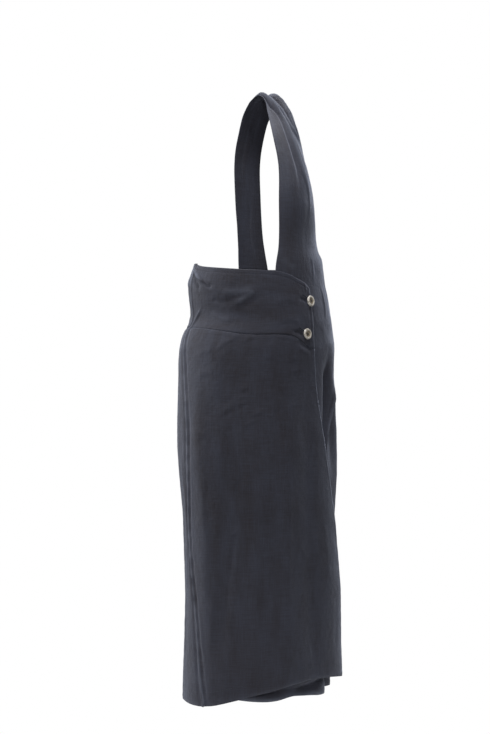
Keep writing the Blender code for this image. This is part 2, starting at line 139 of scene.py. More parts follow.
# Large soft folds, each straight: top angle and height, foot angle and height, width, rise.
skirtFolds = [
    (-146.0, -0.270, -158.0, -0.660, 0.016, -0.0040),
    (-128.0, -0.330, -134.0, -0.750, 0.022, 0.0035),
    (-106.0, -0.200, -108.0, -0.720, 0.018, 0.0030),
    (-92.0, -0.180, -84.0, -0.740, 0.018, -0.0030),
    (-176.0, -0.180, -170.0, -0.700, 0.020, 0.0030),
    (-64.0, -0.130, -58.0, -0.330, 0.018, -0.0050),
    (-50.0, -0.150, -42.0, -0.480, 0.020, 0.0040),
    (-16.0, -0.200, -22.0, -0.720, 0.024, 0.0035),
    (28.0, -0.180, 24.0, -0.740, 0.022, -0.0045),
    (48.0, -0.260, 46.0, -0.760, 0.022, 0.0045),
    (74.0, -0.200, 72.0, -0.700, 0.024, -0.0050),
    (96.0, -0.290, 98.0, -0.760, 0.022, 0.0040),
    (122.0, -0.170, 118.0, -0.720, 0.024, -0.0050),
    (150.0, -0.230, 148.0, -0.760, 0.020, 0.0020),
]
hollowFold = (-46.0, -0.500, -46.0, -0.900, 0.040, -0.0280)   # left front, under the wrap's corner

# Smaller creases, placed one by one. Each has its points (angle, height in mm), half width in
# mm, rise in mm (below 0 a trough), and its left side's half width as a share of the right's.
creases = {
    "waistband": [
        ([(-207, 45), (-196, 27), (-183, 8)], 3.8, 2.8, 0.5),
        ([(-186, 12), (-178, 4), (-171, 2)], 3.8, -2.4, 1.0),
        ([(-200, 20), (-192, 8), (-186, -2)], 4.5, -1.4, 1.0),
        ([(-187, -38), (-195, -58), (-200, -75)], 4.5, 2.0, 0.6),
        ([(-168, -4), (-148, -10), (-131, -2)], 7.0, 1.3, 1.5),
        ([(-153, -36), (-142, -19), (-131, -4)], 6.5, 1.5, 1.3),
        ([(-149, -46), (-138, -30), (-127, -16)], 6.0, -0.5, 1.0),
        ([(-175, -46), (-163, -58), (-151, -61)], 5.5, 0.9, 1.0),
        ([(-174, -22), (-162, -27), (-150, -24)], 6.0, -0.8, 1.0),
        ([(-122, -30), (-110, -22), (-98, -26)], 7.0, 0.6, 1.0),
        ([(-118, -62), (-105, -58), (-96, -68)], 7.0, 0.7, 1.0),
        ([(-89, 12), (-88, 2), (-87, -8)], 3.5, 0.8, 0.7),
        ([(-96, -20), (-91, -22), (-87, -27)], 4.0, -1.5, 1.0),
        ([(-104, -82), (-98, -84), (-93, -90)], 4.0, -1.7, 1.0),
    ],
    "hip": [
        ([(-158, -105), (-151, -98), (-145, -92)], 4.0, 1.2, 1.4),
        ([(-143, -103), (-138, -96), (-133, -90)], 4.0, 1.1, 1.4),
        ([(-162, -116), (-155, -103)], 4.0, 0.8, 1.0),
        ([(-141, -193), (-138, -187), (-135, -181)], 4.0, 1.2, 1.4),
        ([(-143, -207), (-139, -203), (-135, -201)], 3.5, 1.0, 1.2),
        ([(-157, -237), (-146, -219), (-131, -209)], 4.5, 0.9, 1.4),
        ([(-155, -243), (-145, -227), (-133, -217)], 4.0, -0.7, 1.0),
        ([(-100, -99), (-93, -110), (-84, -117)], 3.5, -1.8, 1.0),
        ([(-101, -108), (-94, -118), (-86, -126)], 4.0, 1.0, 1.0),
        ([(-147, -230), (-141, -222)], 3.5, 0.8, 1.0),
        ([(-139, -255), (-129, -246)], 4.0, 0.9, 1.0),
        ([(-133, -237), (-123, -228)], 4.0, 0.9, 1.0),
        ([(-107, -158), (-92, -151)], 5.0, 0.7, 1.0),
        ([(-108, -219), (-92, -217)], 5.0, 0.6, 1.0),
        ([(-107, -137), (-99, -130)], 4.5, 0.7, 1.0),
        ([(-182, -128), (-172, -119), (-163, -117)], 6.0, 1.0, 1.0),
        ([(-180, -168), (-170, -158), (-160, -160)], 6.5, 0.9, 1.0),
        ([(-183, -262), (-174, -272), (-165, -270)], 7.0, 1.0, 1.0),
    ],
    "wrap": [
        ([(-140, -286), (-140, -347), (-144, -376), (-146, -458), (-152, -542), (-156, -662)],
         5.0, -1.7, 1.0),
        ([(-144, -292), (-144.5, -348), (-148, -380), (-150, -458), (-156, -545)], 5.0, 1.1, 1.0),
        ([(-135, -300), (-136, -352), (-139, -390)], 6.0, 0.9, 1.0),
        ([(-149, -462), (-143, -444)], 3.0, 1.1, 1.0),
        ([(-132, -470), (-132, -524)], 3.5, 0.8, 1.0),
        ([(-124, -526), (-124, -564), (-119, -603), (-118, -625)], 3.5, 0.9, 1.0),
        ([(-128, -580), (-122, -604)], 3.0, -0.8, 1.0),
        ([(-112, -205), (-108, -314), (-106, -361), (-105, -432), (-106, -552), (-106, -652)],
         3.5, 0.9, 1.0),
        ([(-99, -475), (-87, -510)], 4.5, 0.8, 1.0),
        ([(-107, -689), (-98, -679)], 5.0, 1.0, 1.0),
        ([(-113, -718), (-103, -713)], 4.5, 0.9, 1.0),
        ([(-88, -664), (-86, -718)], 5.0, 1.0, 1.0),
        ([(-170, -330), (-172, -420), (-168, -500)], 7.0, 0.9, 1.0),
        ([(-162, -540), (-166, -620), (-168, -690)], 7.0, 1.0, 1.0),
        ([(-180, -590), (-176, -640), (-173, -700)], 5.0, 1.2, 1.0),
        ([(-172, -725), (-150, -716), (-138, -722)], 7.0, 0.7, 1.0),
        ([(-76, -420), (-70, -500), (-68, -590)], 8.0, 0.9, 1.0),
        ([(-60, -560), (-58, -640), (-60, -700)], 8.0, -1.0, 1.0),
    ],
    "leftFront": [
        ([(-46, -178), (-57, -240), (-68, -305)], 5.0, 2.8, 0.6),
        ([(-62, -120), (-63, -180), (-66, -240), (-71, -300), (-74, -350)], 9.0, -6.0, 1.3),
        ([(-140, -752), (-118, -749), (-98, -750), (-76, -758)], 11.0, -6.0, 1.0),
        ([(-110, -756), (-90, -750), (-72, -741), (-54, -732), (-34, -722)], 6.5, -5.5, 1.0),
        ([(-72, 70), (-73, 44), (-75, 16)], 3.5, 0.9, 1.0),
        ([(-64, 12), (-62, -12), (-62, -36), (-64, -60)], 4.0, 1.2, 0.7),
        ([(-52, 30), (-49, 2), (-50, -40)], 6.0, -0.9, 1.0),
        ([(-38, -60), (-30, -110), (-28, -170)], 7.0, 1.2, 1.0),
        ([(-22, -20), (-10, -32), (0, -28)], 6.0, 1.3, 1.0),
        ([(-18, -118), (-8, -108), (1, -112)], 6.0, 1.2, 1.0),
        ([(-28, -208), (-14, -196), (0, -202)], 7.0, 1.2, 1.0),
        ([(-30, -262), (-18, -254), (-6, -258)], 6.0, 0.9, 1.0),
        ([(-34, -330), (-36, -430), (-32, -540)], 6.0, -1.4, 1.0),
        ([(-8, -300), (-6, -420), (-10, -560)], 6.0, 1.2, 1.0),
        ([(-30, -620), (-24, -700)], 6.0, 1.0, 1.0),
    ],
    "back": [
        ([(14, -14), (26, -26), (40, -22)], 6.0, 1.3, 1.0),
        ([(44, 20), (56, 4), (70, 2)], 5.5, 1.1, 1.0),
        ([(58, -52), (74, -60), (88, -54)], 6.0, 1.0, 1.0),
        ([(96, -8), (110, -22), (124, -18)], 6.0, 1.3, 1.0),
        ([(120, -50), (134, -60), (146, -56)], 5.5, 1.0, 1.0),
        ([(136, 26), (146, 8), (156, 2)], 5.0, 1.2, 1.0),
        ([(10, -112), (22, -122), (36, -118)], 6.0, 1.2, 1.0),
        ([(20, -186), (32, -200), (48, -196)], 6.5, 1.3, 1.0),
        ([(54, -150), (70, -160), (84, -154)], 7.0, 1.0, 1.0),
        ([(104, -136), (118, -150), (132, -146)], 6.5, 1.2, 1.0),
        ([(112, -206), (126, -216), (142, -212)], 6.5, 1.2, 1.0),
        ([(148, -112), (156, -124), (166, -122)], 5.0, 1.0, 1.0),
        ([(60, -240), (64, -340), (61, -450), (63, -560)], 5.5, -1.6, 1.0),
        ([(87, -300), (89, -400), (86, -520)], 5.0, 1.1, 1.0),
        ([(109, -310), (108, -430), (111, -560)], 5.5, 1.2, 1.0),
        ([(133, -260), (136, -380), (134, -500)], 5.5, -1.3, 1.0),
        ([(36, -330), (38, -450), (35, -600)], 5.5, 1.1, 1.0),
        ([(14, -380), (13, -500), (16, -640)], 5.5, -1.2, 1.0),
        ([(72, -600), (84, -612)], 5.0, 0.9, 1.0),
        ([(126, -640), (136, -652)], 5.0, 0.9, 1.0),
        ([(40, -700), (52, -712)], 5.0, 0.9, 1.0),
        ([(160, -300), (161, -420), (158, -560)], 5.0, 1.1, 1.0),
        ([(150, -600), (156, -690)], 6.0, 1.0, 1.0),
    ],
}

# The strip over the shoulder, bib and back strap: four points across it at each line.
stripLines = columns("line ix iy iz sx sy sz tx ty tz ox oy oz", [
    (0, -0.0610, -0.1010, 0.022, 0.031, -0.1075, 0.030, 0.1130, -0.0690, 0.039, 0.1455, 0.0040, 0.046),
    (1, -0.0430, -0.0925, 0.090, 0.034, -0.0970, 0.092, 0.1080, -0.0560, 0.090, 0.1390, -0.0050, 0.086),
    (2, -0.0365, -0.0865, 0.165, 0.042, -0.0950, 0.165, 0.1045, -0.0500, 0.160, 0.1305, -0.0120, 0.152),
    (3, -0.0170, -0.0680, 0.233, 0.047, -0.0780, 0.232, 0.0990, -0.0390, 0.228, 0.1235, -0.0095, 0.218),
    (4, 0.0020, -0.0360, 0.297, 0.051, -0.0450, 0.297, 0.0940, -0.0220, 0.292, 0.1215, 0.0030, 0.280),
    (5, 0.0300, 0.0010, 0.343, 0.063, -0.0080, 0.344, 0.0970, -0.0020, 0.339, 0.1260, 0.0200, 0.325),
    (6, 0.0520, 0.0280, 0.373, 0.076, 0.0210, 0.373, 0.1040, 0.0220, 0.367, 0.1290, 0.0380, 0.351),
    (7, 0.0620, 0.0540, 0.388, 0.083, 0.0500, 0.388, 0.1080, 0.0500, 0.381, 0.1310, 0.0580, 0.367),
    (8, 0.0640, 0.0810, 0.376, 0.086, 0.0800, 0.378, 0.1080, 0.0790, 0.371, 0.1290, 0.0800, 0.359),
    (9, 0.0620, 0.1010, 0.340, 0.084, 0.1000, 0.339, 0.1050, 0.0980, 0.335, 0.1250, 0.0940, 0.327),
    (10, 0.0580, 0.1160, 0.270, 0.079, 0.1130, 0.269, 0.0990, 0.1090, 0.267, 0.1180, 0.1030, 0.263),
    (11, 0.0560, 0.1130, 0.190, 0.076, 0.1100, 0.190, 0.0950, 0.1050, 0.189, 0.1130, 0.0970, 0.187),
    (12, 0.0560, 0.1060, 0.110, 0.075, 0.1030, 0.110, 0.0930, 0.0970, 0.110, 0.1100, 0.0880, 0.110),
    (13, 0.0560, 0.1031, 0.0469, 0.075, 0.0965, 0.0466, 0.0930, 0.0870, 0.0463, 0.1100, 0.0745, 0.0460),
])
strip = {
    "shoulderLine": 7,
    "endLine": 13,
    "width": 0.15,             # about, turns a share of the width into a length
    "lineStep": 0.055,
    "blendLines": 0.8,         # over which the bib leaves the body form
    # Gathers from the shoulder seam: top share, foot share, foot line, width, rise.
    "gathers": [
        (0.03, 0.12, 3.6, 0.0075, -0.0030),
        (0.08, 0.27, 3.1, 0.0085, 0.0060),
        (0.29, 0.35, 3.8, 0.0085, -0.0045),
        (0.46, 0.48, 3.8, 0.0085, 0.0055),
        (0.60, 0.60, 4.4, 0.0070, -0.0030),
        (0.70, 0.73, 4.4, 0.0075, 0.0040),
        (0.80, 0.83, 4.8, 0.0070, -0.0030),
        (0.90, 0.92, 4.8, 0.0075, 0.0035),
    ],
    # Smaller creases as above, their points given as share and line.
    "creases": [
        ([(0.06, 9.0), (0.05, 6.9), (0.12, 5.9), (0.23, 4.95), (0.26, 4.2), (0.26, 3.5),
          (0.27, 2.9), (0.32, 2.3), (0.34, 1.4)], 3.2, 5.2, 0.8),
        ([(0.03, 6.4), (0.06, 5.7), (0.17, 4.9), (0.19, 4.2), (0.19, 3.5), (0.19, 2.8), (0.18, 2.2)],
         3.6, -4.4, 1.0),
        ([(0.28, 9.0), (0.29, 7.0), (0.30, 6.05), (0.36, 5.2), (0.38, 4.5), (0.48, 4.0), (0.60, 3.6)],
         3.2, 4.4, 0.8),
        ([(0.16, 8.8), (0.16, 7.0), (0.21, 6.0), (0.295, 5.0), (0.32, 4.2), (0.35, 3.5), (0.36, 2.6)],
         3.2, -4.6, 1.0),
        ([(0.46, 8.6), (0.46, 7.0), (0.48, 5.6), (0.55, 4.6), (0.62, 3.8), (0.66, 3.0)], 3.2, 3.4, 0.8),
        ([(0.38, 8.6), (0.38, 7.0), (0.40, 5.6), (0.46, 4.6), (0.56, 4.2)], 3.2, -3.4, 1.0),
        ([(0.64, 3.9), (0.70, 3.1)], 4.0, -1.0, 1.0),
        ([(0.62, 3.2), (0.68, 2.6), (0.72, 2.1)], 4.5, 1.2, 1.0),
        ([(0.25, 2.5), (0.24, 1.4), (0.25, 0.35)], 5.0, 0.8, 1.0),
        ([(0.84, 2.3), (0.83, 1.2)], 5.0, 0.9, 1.0),
        ([(0.84, 1.1), (0.73, 0.65), (0.53, 0.15)], 4.5, 1.2, 1.0),
        ([(0.04, 0.55), (0.10, 0.30), (0.18, 0.18)], 4.5, 1.0, 1.0),
        ([(0.64, 6.7), (0.66, 5.7), (0.70, 4.9)], 3.5, 1.2, 1.0),
        ([(0.56, 6.7), (0.58, 5.6)], 3.5, -1.2, 1.0),
        ([(0.86, 6.7), (0.88, 5.6)], 3.5, 1.0, 1.0),
        ([(0.30, 8.2), (0.34, 9.4), (0.30, 10.6)], 4.5, 1.0, 1.0),
        ([(0.66, 8.4), (0.62, 9.6)], 4.5, 1.0, 1.0),
        ([(0.70, 11.0), (0.55, 11.8), (0.62, 12.6)], 4.5, 0.9, 1.0),
    ],
}

# How uneven the cloth lies between its creases: size of the waves and their rise, in m.
unevenness = [(0.075, 0.0012), (0.028, 0.00055), (0.012, 0.00026)]

# How many times as high as listed each region's creases are laid.
creaseScale = {"waistband": 1.7, "hip": 1.0, "wrap": 0.8, "leftFront": 1.5, "back": 1.3}


def arc(degrees):
    # Length along the cloth that an angle round the body spans.
    return np.radians(degrees) * garment["formRadius"]


def smooth(low, high, value):
    share = np.clip((value - low) / (high - low), 0.0, 1.0)
    return share * share * (3.0 - 2.0 * share)


def bell(distance, halfWidth):
    return np.exp(-(distance / halfWidth) ** 2)


def curveAt(places, values, place):
    # Smooth curve through values at rising places, level past its ends.
    slopes = np.empty(len(values))
    slopes[1:-1] = (values[2:] - values[:-2]) / (places[2:] - places[:-2])
    slopes[0] = (values[1] - values[0]) / (places[1] - places[0])
    slopes[-1] = (values[-1] - values[-2]) / (places[-1] - places[-2])
    place = np.clip(place, places[0], places[-1])
    i = np.clip(np.searchsorted(places, place, side="right") - 1, 0, len(places) - 2)
    span = places[i + 1] - places[i]
    s = (place - places[i]) / span
    rise = values[i + 1] - values[i]
    start, end = slopes[i] * span, slopes[i + 1] * span
    return values[i] + s * (start + s * (3.0 * rise - 2.0 * start - end + s * (start + end - 2.0 * rise)))


def seamAt(name, height):
    return curveAt(seams["height"], seams[name], height)


def edgeAt(edges, name, angle):
    return curveAt(edges["angle"], edges[name], angle)


def besideLine(across, down, right, below):
    # Share of the way along a straight line from its top, and distance to its side.
    length = math.hypot(across, down)
    return (right * across + below * down) / length ** 2, (right * down - below * across) / length


def foldRise(fold, angle, height):
    # A straight soft fold, fading out round its two ends.
    topAngle, topHeight, footAngle, footHeight, width, rise = fold
    share, offset = besideLine(arc(footAngle - topAngle), footHeight - topHeight,
                               arc(angle - topAngle), height - topHeight)
    fade = smooth(-0.12, 0.25, share) * (1.0 - smooth(0.8, 1.15, share))
    return rise * fade * bell(offset, width)


def creaseRise(path, halfWidth, rise, leftShare, right, up):
    # A soft ridge or trough along a smooth line through the path's points, lower at its ends.
    count = len(path)
    piecesBetween = 6
    steps = np.linspace(0.0, count - 1.0, piecesBetween * (count - 1) + 1)
    places = np.arange(count, dtype=float)
    line = np.stack([curveAt(places, path[:, axis], steps) for axis in (0, 1)], axis=1)
    reach = 3.0 * halfWidth * max(1.0, leftShare)
    near = ((right > line[:, 0].min() - reach) & (right < line[:, 0].max() + reach)
            & (up > line[:, 1].min() - reach) & (up < line[:, 1].max() + reach))
    total = np.zeros(len(right))
    if not near.any():
        return total
    spot = np.stack([right[near], up[near]], axis=1)[:, None, :]
    start, run = line[None, :-1], np.diff(line, axis=0)[None]
    along = np.clip(((spot - start) * run).sum(2) / (run ** 2).sum(2), 0.0, 1.0)
    gap = spot - start - run * along[..., None]
    distance = np.hypot(gap[..., 0], gap[..., 1])
    nearest = distance.argmin(1)
    row = np.arange(len(nearest))
    share = (nearest + along[row, nearest]) / (len(line) - 1)
    width = np.where(gap[row, nearest, 0] < 0.0, halfWidth * leftShare, halfWidth)
    fade = smooth(0.0, 0.3, share) * (1.0 - smooth(0.7, 1.0, share)) * 0.9 + 0.1
    total[near] = rise * fade * bell(distance[row, nearest], width)
    return total


def listedCreases(listed, pathPoint, scale, right, up):
    # The rise of all creases of a list at each place, and that of the highest one there.
    total = np.zeros(len(right))
    highest = np.zeros(len(right))
    for points, halfWidth, rise, leftShare in listed:
        path = np.array([pathPoint(*point) for point in points])
        lift = creaseRise(path, halfWidth / 1000.0, scale * rise / 1000.0, leftShare, right, up)
        total += lift
        highest = np.maximum(highest, lift)
    return total, highest


def wavy(right, up, seed):
    # Low waves that keep flat cloth from looking like sheet metal.
    total = np.zeros(len(right))
    for size, rise in unevenness:
        total += [rise * noise.noise(Vector((x / size, z / size, seed))) for x, z in zip(right, up)]
    return total


def skirtRelief(angle, height, names):
    # The folds, creases and waves at each place, and how strongly a ridge is painted paler there, partly
    # as rubbed wear and partly as painted highlight.
    right = arc(angle)
    relief = sum(foldRise(fold, angle, height) for fold in skirtFolds) + wavy(right, height, 3.0)
    highest = np.zeros(len(angle))
    for name in names:
        lift, ridge = listedCreases(creases[name], lambda a, z: (arc(a), z / 1000.0),
                                    creaseScale[name], right, height)
        relief += lift
        highest = np.maximum(highest, ridge)
    return relief, np.clip(highest / linen["wearAndHighlightRise"] - linen["noPaleShare"], 0.0, 1.0)


def formPoint(angle, height, out):
    # Point of the body form at an angle and height, and as far out from it as stated.
    cosine, sine = np.cos(np.radians(angle)), np.sin(np.radians(angle))
    right, left, front, back = (curveAt(sections["height"], sections[name], height)
                                for name in ("right", "left", "front", "back"))
    width = np.where(cosine > 0.0, left, right)
    depth = np.where(sine > 0.0, back, front)
    normal = np.stack([cosine / width, sine / depth], axis=1)
    normal /= np.linalg.norm(normal, axis=1)[:, None]
    flat = np.stack([width * cosine, depth * sine], axis=1) + normal * np.asarray(out).reshape(-1, 1)
    return np.column_stack([flat, height])


def stripPoint(share, line):
    # A cubic across the strip's four points, at a share of its width.
    s = 3.0 * share
    weights = (
        -(s - 1.0) * (s - 2.0) * (s - 3.0) / 6.0,
        s * (s - 2.0) * (s - 3.0) / 2.0,
        -s * (s - 1.0) * (s - 3.0) / 2.0,
        s * (s - 1.0) * (s - 2.0) / 6.0,
    )
    return np.stack([
        sum(weight * curveAt(stripLines["line"], stripLines[thread + axis], line)
            for weight, thread in zip(weights, "isto"))
        for axis in "xyz"
    ], axis=1)


def stripNormal(share, line, step=0.02):
    across = stripPoint(share + step, line) - stripPoint(share - step, line)
    along = stripPoint(share, line + step) - stripPoint(share, line - step)
    normal = np.cross(across, along)
    return normal / np.linalg.norm(normal, axis=1)[:, None]


def stripRelief(share, line):
    # The gathers, which spread and fade from the shoulder seam down, the creases and waves, and the pale
    # mark on the crests, partly rubbed wear and partly painted highlight.
    width, step, shoulder = strip["width"], strip["lineStep"], strip["shoulderLine"]
    above = np.maximum(line - shoulder, 0.0)
    total = np.zeros(len(share))
    for topShare, footShare, footLine, halfWidth, rise in strip["gathers"]:
        place, offset = besideLine((footShare - topShare) * width, (shoulder - footLine) * step,
                                   (share - topShare) * width, (shoulder - line + above) * step)
        spread = halfWidth * (1.0 + 1.2 * np.maximum(place, 0.0))
        total += rise * (1.0 - smooth(0.45, 1.1, place)) * bell(offset, spread)
    total *= 1.0 - smooth(0.0, 1.2, above)
    right, up = share * width, line * step
    lift, highest = listedCreases(strip["creases"], lambda s, l: (s * width, l * step), 1.0, right, up)
    total += lift + wavy(right, up, 8.0) * smooth(0.0, 1.0, line)
    return total, np.clip(highest / linen["wearAndHighlightRise"], 0.0, 1.0)


def leftOut(angle):
    # The left front lies a layer below the wrap, and level with the back at its side seam.
    return -(garment["clothWall"] + garment["layerGap"]) * (1.0 - smooth(layeredBelow, -15.0, angle))


def linear(code):
    # Linear colour of an sRGB hex code.
    parts = [int(code[i:i + 2], 16) / 255.0 for i in (1, 3, 5)]
    return tuple(c / 12.92 if c <= 0.04045 else ((c + 0.055) / 1.055) ** 2.4 for c in parts) + (1.0,)


def addNode(tree, kind, settings=None, inputs=None):
    node = tree.nodes.new("ShaderNode" + kind)
    for name, value in (settings or {}).items():
        setattr(node, name, value)
    for name, value in (inputs or {}).items():
        if isinstance(value, bpy.types.NodeSocket):
            tree.links.new(value, node.inputs[name])
        else:
            node.inputs[name].default_value = value
    return node


def newMaterial(name):
    made = bpy.data.materials.new(name)
    made.use_nodes = True
    made.node_tree.nodes.clear()
    return made, made.node_tree


# Linen, plain woven from uneven flax yarn, piece dyed and softened by washing: matt and dark,
# with slubs along both threads, and hazy at grazing angles. Ridges, seams and edges are painted paler,
# partly as rubbed wear and partly as painted highlight.
linen = {
    "dark": "#1f1c20",
    "light": "#2c2e38",
    # Pale bluish colour laid on ridges, seams and edges: partly rubbed wear, partly painted highlight.
    "wearAndHighlight": "#6c7280",
    "wearAndHighlightShare": 0.34,
    "wearAndHighlightRise": 0.0050,      # a crease's rise that gets the full share of pale wear and painted highlight
    "noPaleShare": 0.2,           # up to this share of it the skirt's creases get neither pale wear nor painted highlight
    "underTone": 1.05,         # the left front and strap are a little paler than the wrap
    "threadSpacing": 0.0011,   # m; the real 0.55 mm thread is too fine to show, so twice that
    # Noise in the cloth's plane: width and length of its marks in m, detail, roughness.
    "noises": {
        "warpSlubs": (0.0016, 0.035, 2.0, 0.55),
        "weftSlubs": (0.035, 0.0016, 2.0, 0.55),
        "mottle": (0.032, 0.110, 3.0, 0.5),      # bluer and greyer streaks, longer along the warp
        "crumple": (0.009, 0.009, 2.0, 0.5),
    },
    # How much of the light dye each gives: lowest and highest value, least and most share.
    "slubShare": (0.75, 1.3, 0.15, 0.60),
    "mottleShare": (0.3, 0.7, 0.0, 0.45),
    # Bumps: strength and depth in m.
    "crumpleBump": (0.35, 0.0016),
    "slubBump": (0.30, 0.0004),
    "weaveBump": (0.35, 0.0002),
    "roughness": 0.78,
    "specular": 0.20,
    "sheen": 0.20,
    "sheenTint": "#c9d2ea",
    "sheenRoughness": 0.45,
}


def linenMaterial(name, tone=1.0):
    made, tree = newMaterial(name)
    cloth = addNode(tree, "UVMap", {"uv_map": "cloth"}).outputs["UV"]
    field = {}
    for kind, (width, length, detail, roughness) in linen["noises"].items():
        scale = (1.0 / width, 1.0 / length, 1.0)
        scaled = addNode(tree, "Mapping", inputs={"Vector": cloth, "Scale": scale})
        field[kind] = addNode(tree, "TexNoise", {"noise_dimensions": "2D"}, {
            "Vector": scaled.outputs["Vector"], "Scale": 1.0, "Detail": detail, "Roughness": roughness,
        }).outputs["Fac"]
    slubs = addNode(tree, "Math", {"operation": "ADD"},
                    {0: field["warpSlubs"], 1: field["weftSlubs"]}).outputs[0]
    shares = []
    for value, kind in ((slubs, "slubShare"), (field["mottle"], "mottleShare")):
        low, high, least, most = linen[kind]
        ranged = addNode(tree, "MapRange", inputs={
            "Value": value, "From Min": low, "From Max": high, "To Min": least, "To Max": most})
        shares.append(ranged.outputs[0])
    lightShare = addNode(tree, "Math", {"operation": "ADD", "use_clamp": True},
                         {0: shares[0], 1: shares[1]})
    dark, light = ([c * tone for c in linear(linen[dye])[:3]] + [1.0] for dye in ("dark", "light"))
    dyed = addNode(tree, "MixRGB", inputs={"Fac": lightShare.outputs[0], "Color1": dark, "Color2": light})
    # The pale mark is partly rubbed wear and partly painted highlight, mixed over the dye.
    wearAndHighlightMask = addNode(tree, "Attribute", {"attribute_name": "wearAndHighlight"}).outputs["Fac"]
    wearAndHighlightMix = addNode(tree, "Math", {"operation": "MULTIPLY"}, {0: wearAndHighlightMask, 1: linen["wearAndHighlightShare"]})
    colour = addNode(tree, "MixRGB", inputs={"Fac": wearAndHighlightMix.outputs[0], "Color1": dyed.outputs[0],
                                             "Color2": linear(linen["wearAndHighlight"])})

    spaced = addNode(tree, "VectorMath", {"operation": "SCALE"},
                     {0: cloth, "Scale": math.pi / linen["threadSpacing"]}).outputs[0]
    threads = addNode(tree, "SeparateXYZ", inputs={0: spaced})
    warp, weft = (addNode(tree, "Math", {"operation": "SINE"}, {0: threads.outputs[axis]}).outputs[0]
                  for axis in "XY")
    weave = addNode(tree, "Math", {"operation": "MULTIPLY"}, {0: warp, 1: weft}).outputs[0]
    normal = {}
    for height, kind in ((field["crumple"], "crumpleBump"), (slubs, "slubBump"), (weave, "weaveBump")):
        strength, depth = linen[kind]
        bump = addNode(tree, "Bump", inputs={
            "Strength": strength, "Distance": depth, "Height": height, **normal})
        normal = {"Normal": bump.outputs["Normal"]}
    shader = addNode(tree, "BsdfPrincipled", inputs={
        "Base Color": colour.outputs[0],
        "Roughness": linen["roughness"],
        "Specular IOR Level": linen["specular"],
        "Sheen Weight": linen["sheen"],
        "Sheen Roughness": linen["sheenRoughness"],
        "Sheen Tint": linear(linen["sheenTint"]),
        **normal,
    })
    addNode(tree, "OutputMaterial", inputs={"Surface": shader.outputs[0]})
    return made


linenMaterials = {
    "wrap": linenMaterial("linenWrap"),
    "under": linenMaterial("linenUnder", linen["underTone"]),
    "band": linenMaterial("linenWaistband"),
}


def newObject(name, bm, material=None):
    mesh = bpy.data.meshes.new(name)
    bm.to_mesh(mesh)
    bm.free()
    if material is not None:
        mesh.materials.append(material)
    made = bpy.data.objects.new(name, mesh)
    bpy.context.scene.collection.objects.link(made)
    return made


def clothPiece(name, node, size, placeOf, material, wall, cutAway=None):
    # A fine grid laid on the solid's form, then given its wall inwards.
    bm = bmesh.new()
    bmesh.ops.create_grid(bm, x_segments=size[0], y_segments=size[1], size=0.5)
    shares = np.array([vert.co[:2] for vert in bm.verts]) + 0.5
    points, flat, wearAndHighlight = placeOf(shares[:, 0], shares[:, 1])
    uvLayer = bm.loops.layers.uv.new("cloth")
    # Each point's share of the pale mark: partly rubbed wear, partly painted highlight.
    wearAndHighlightLayer = bm.verts.layers.float.new("wearAndHighlight")
    for vert, point, paleWearAndHighlight in zip(bm.verts, points, wearAndHighlight):
        vert.co = point
        vert[wearAndHighlightLayer] = paleWearAndHighlight
    bm.verts.index_update()
    for face in bm.faces:
        face.smooth = True
        for loop in face.loops:
            loop[uvLayer].uv = flat[loop.vert.index]
    if cutAway is not None:
        middles = np.array([shares[[vert.index for vert in face.verts]].mean(0) for face in bm.faces])
        gone = cutAway(middles[:, 0], middles[:, 1])
        bmesh.ops.delete(bm, geom=[face for face, out in zip(bm.faces, gone) if out], context="FACES")
    made = newObject(name, bm, material)
    shell = made.modifiers.new("wall", "SOLIDIFY")
    shell.thickness = wall
    shell.offset = -1.0
    shell.use_even_offset = False
    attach(made, "root")
    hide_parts(node)
    print("cloth piece:", name, len(made.data.polygons), "faces")
    return made


# Cloth beside a seam: rise just beside it, half width, depth at the seam itself, all in m.
seamShapes = {
    "hem": (0.0005, 0.0030, 0.0),
    "wrapTop": (0.0005, 0.0025, 0.0004),
    "backTop": (0.0005, 0.0025, 0.0008),
    "leftSide": (0.0008, 0.0022, 0.0006),
    "bandSide": (0.0006, 0.0020, 0.0006),
}

# The right side seam: one puckered ridge, and the cloth drawn in beside it.
sideSeam = {
    "rise": 0.0018,
    "halfWidth": 0.0026,
    "trough": 0.0014,
    "troughAside": 0.009,
    "troughHalfWidth": 0.0045,
    "pucker": 0.45,            # share by which the ridge swells and sinks along its length
    "puckerLengths": (0.0085, 0.0135),
}

# Where edges are painted pale, partly as rubbed wear and partly as painted highlight: most, and half
# width in m.
paleWearAndHighlight = {
    "sideSeam": (0.6, 0.003),
    "freeEdge": (0.4, 0.002),
    "hem": (0.25, 0.006),
    # the strip of the left front that shows under the wrap's hem: painted highlight
    "underHemHighlight": (1.0, 0.006),
}


def seamRidge(distance, kind):
    ridge, halfWidth, trough = seamShapes[kind]
    ridgeAside = 2.2 * halfWidth
    return ridge * bell(distance - ridgeAside, halfWidth) - trough * bell(distance, halfWidth)


def sideSeamRise(distance, height):
    short, long = sideSeam["puckerLengths"]
    pucker = 1.0 + sideSeam["pucker"] * np.sin(height / short) * np.sin(height / long + 1.0)
    ridge = sideSeam["rise"] * pucker * bell(distance, sideSeam["halfWidth"])
    return ridge - sideSeam["trough"] * pucker * bell(distance - sideSeam["troughAside"],
                                                      sideSeam["troughHalfWidth"])


# A pale mark beside an edge, partly rubbed wear and partly painted highlight.
def wearAndHighlightAt(wearAndHighlight, distance, kind):
    most, halfWidth = paleWearAndHighlight[kind]
    return np.maximum(wearAndHighlight, most * bell(distance, halfWidth))


def panelPlace(edges, topName, footName, start, end, across, up, gap=0.0):
    # Angle and height of each place of a panel's grid, and the panel's top and foot there.
    angle = start + (end - start) * across
    top = edgeAt(edges, topName, angle) - gap
    foot = edgeAt(edges, footName, angle)
    return angle, top + (foot - top) * (1.0 - up), top, foot


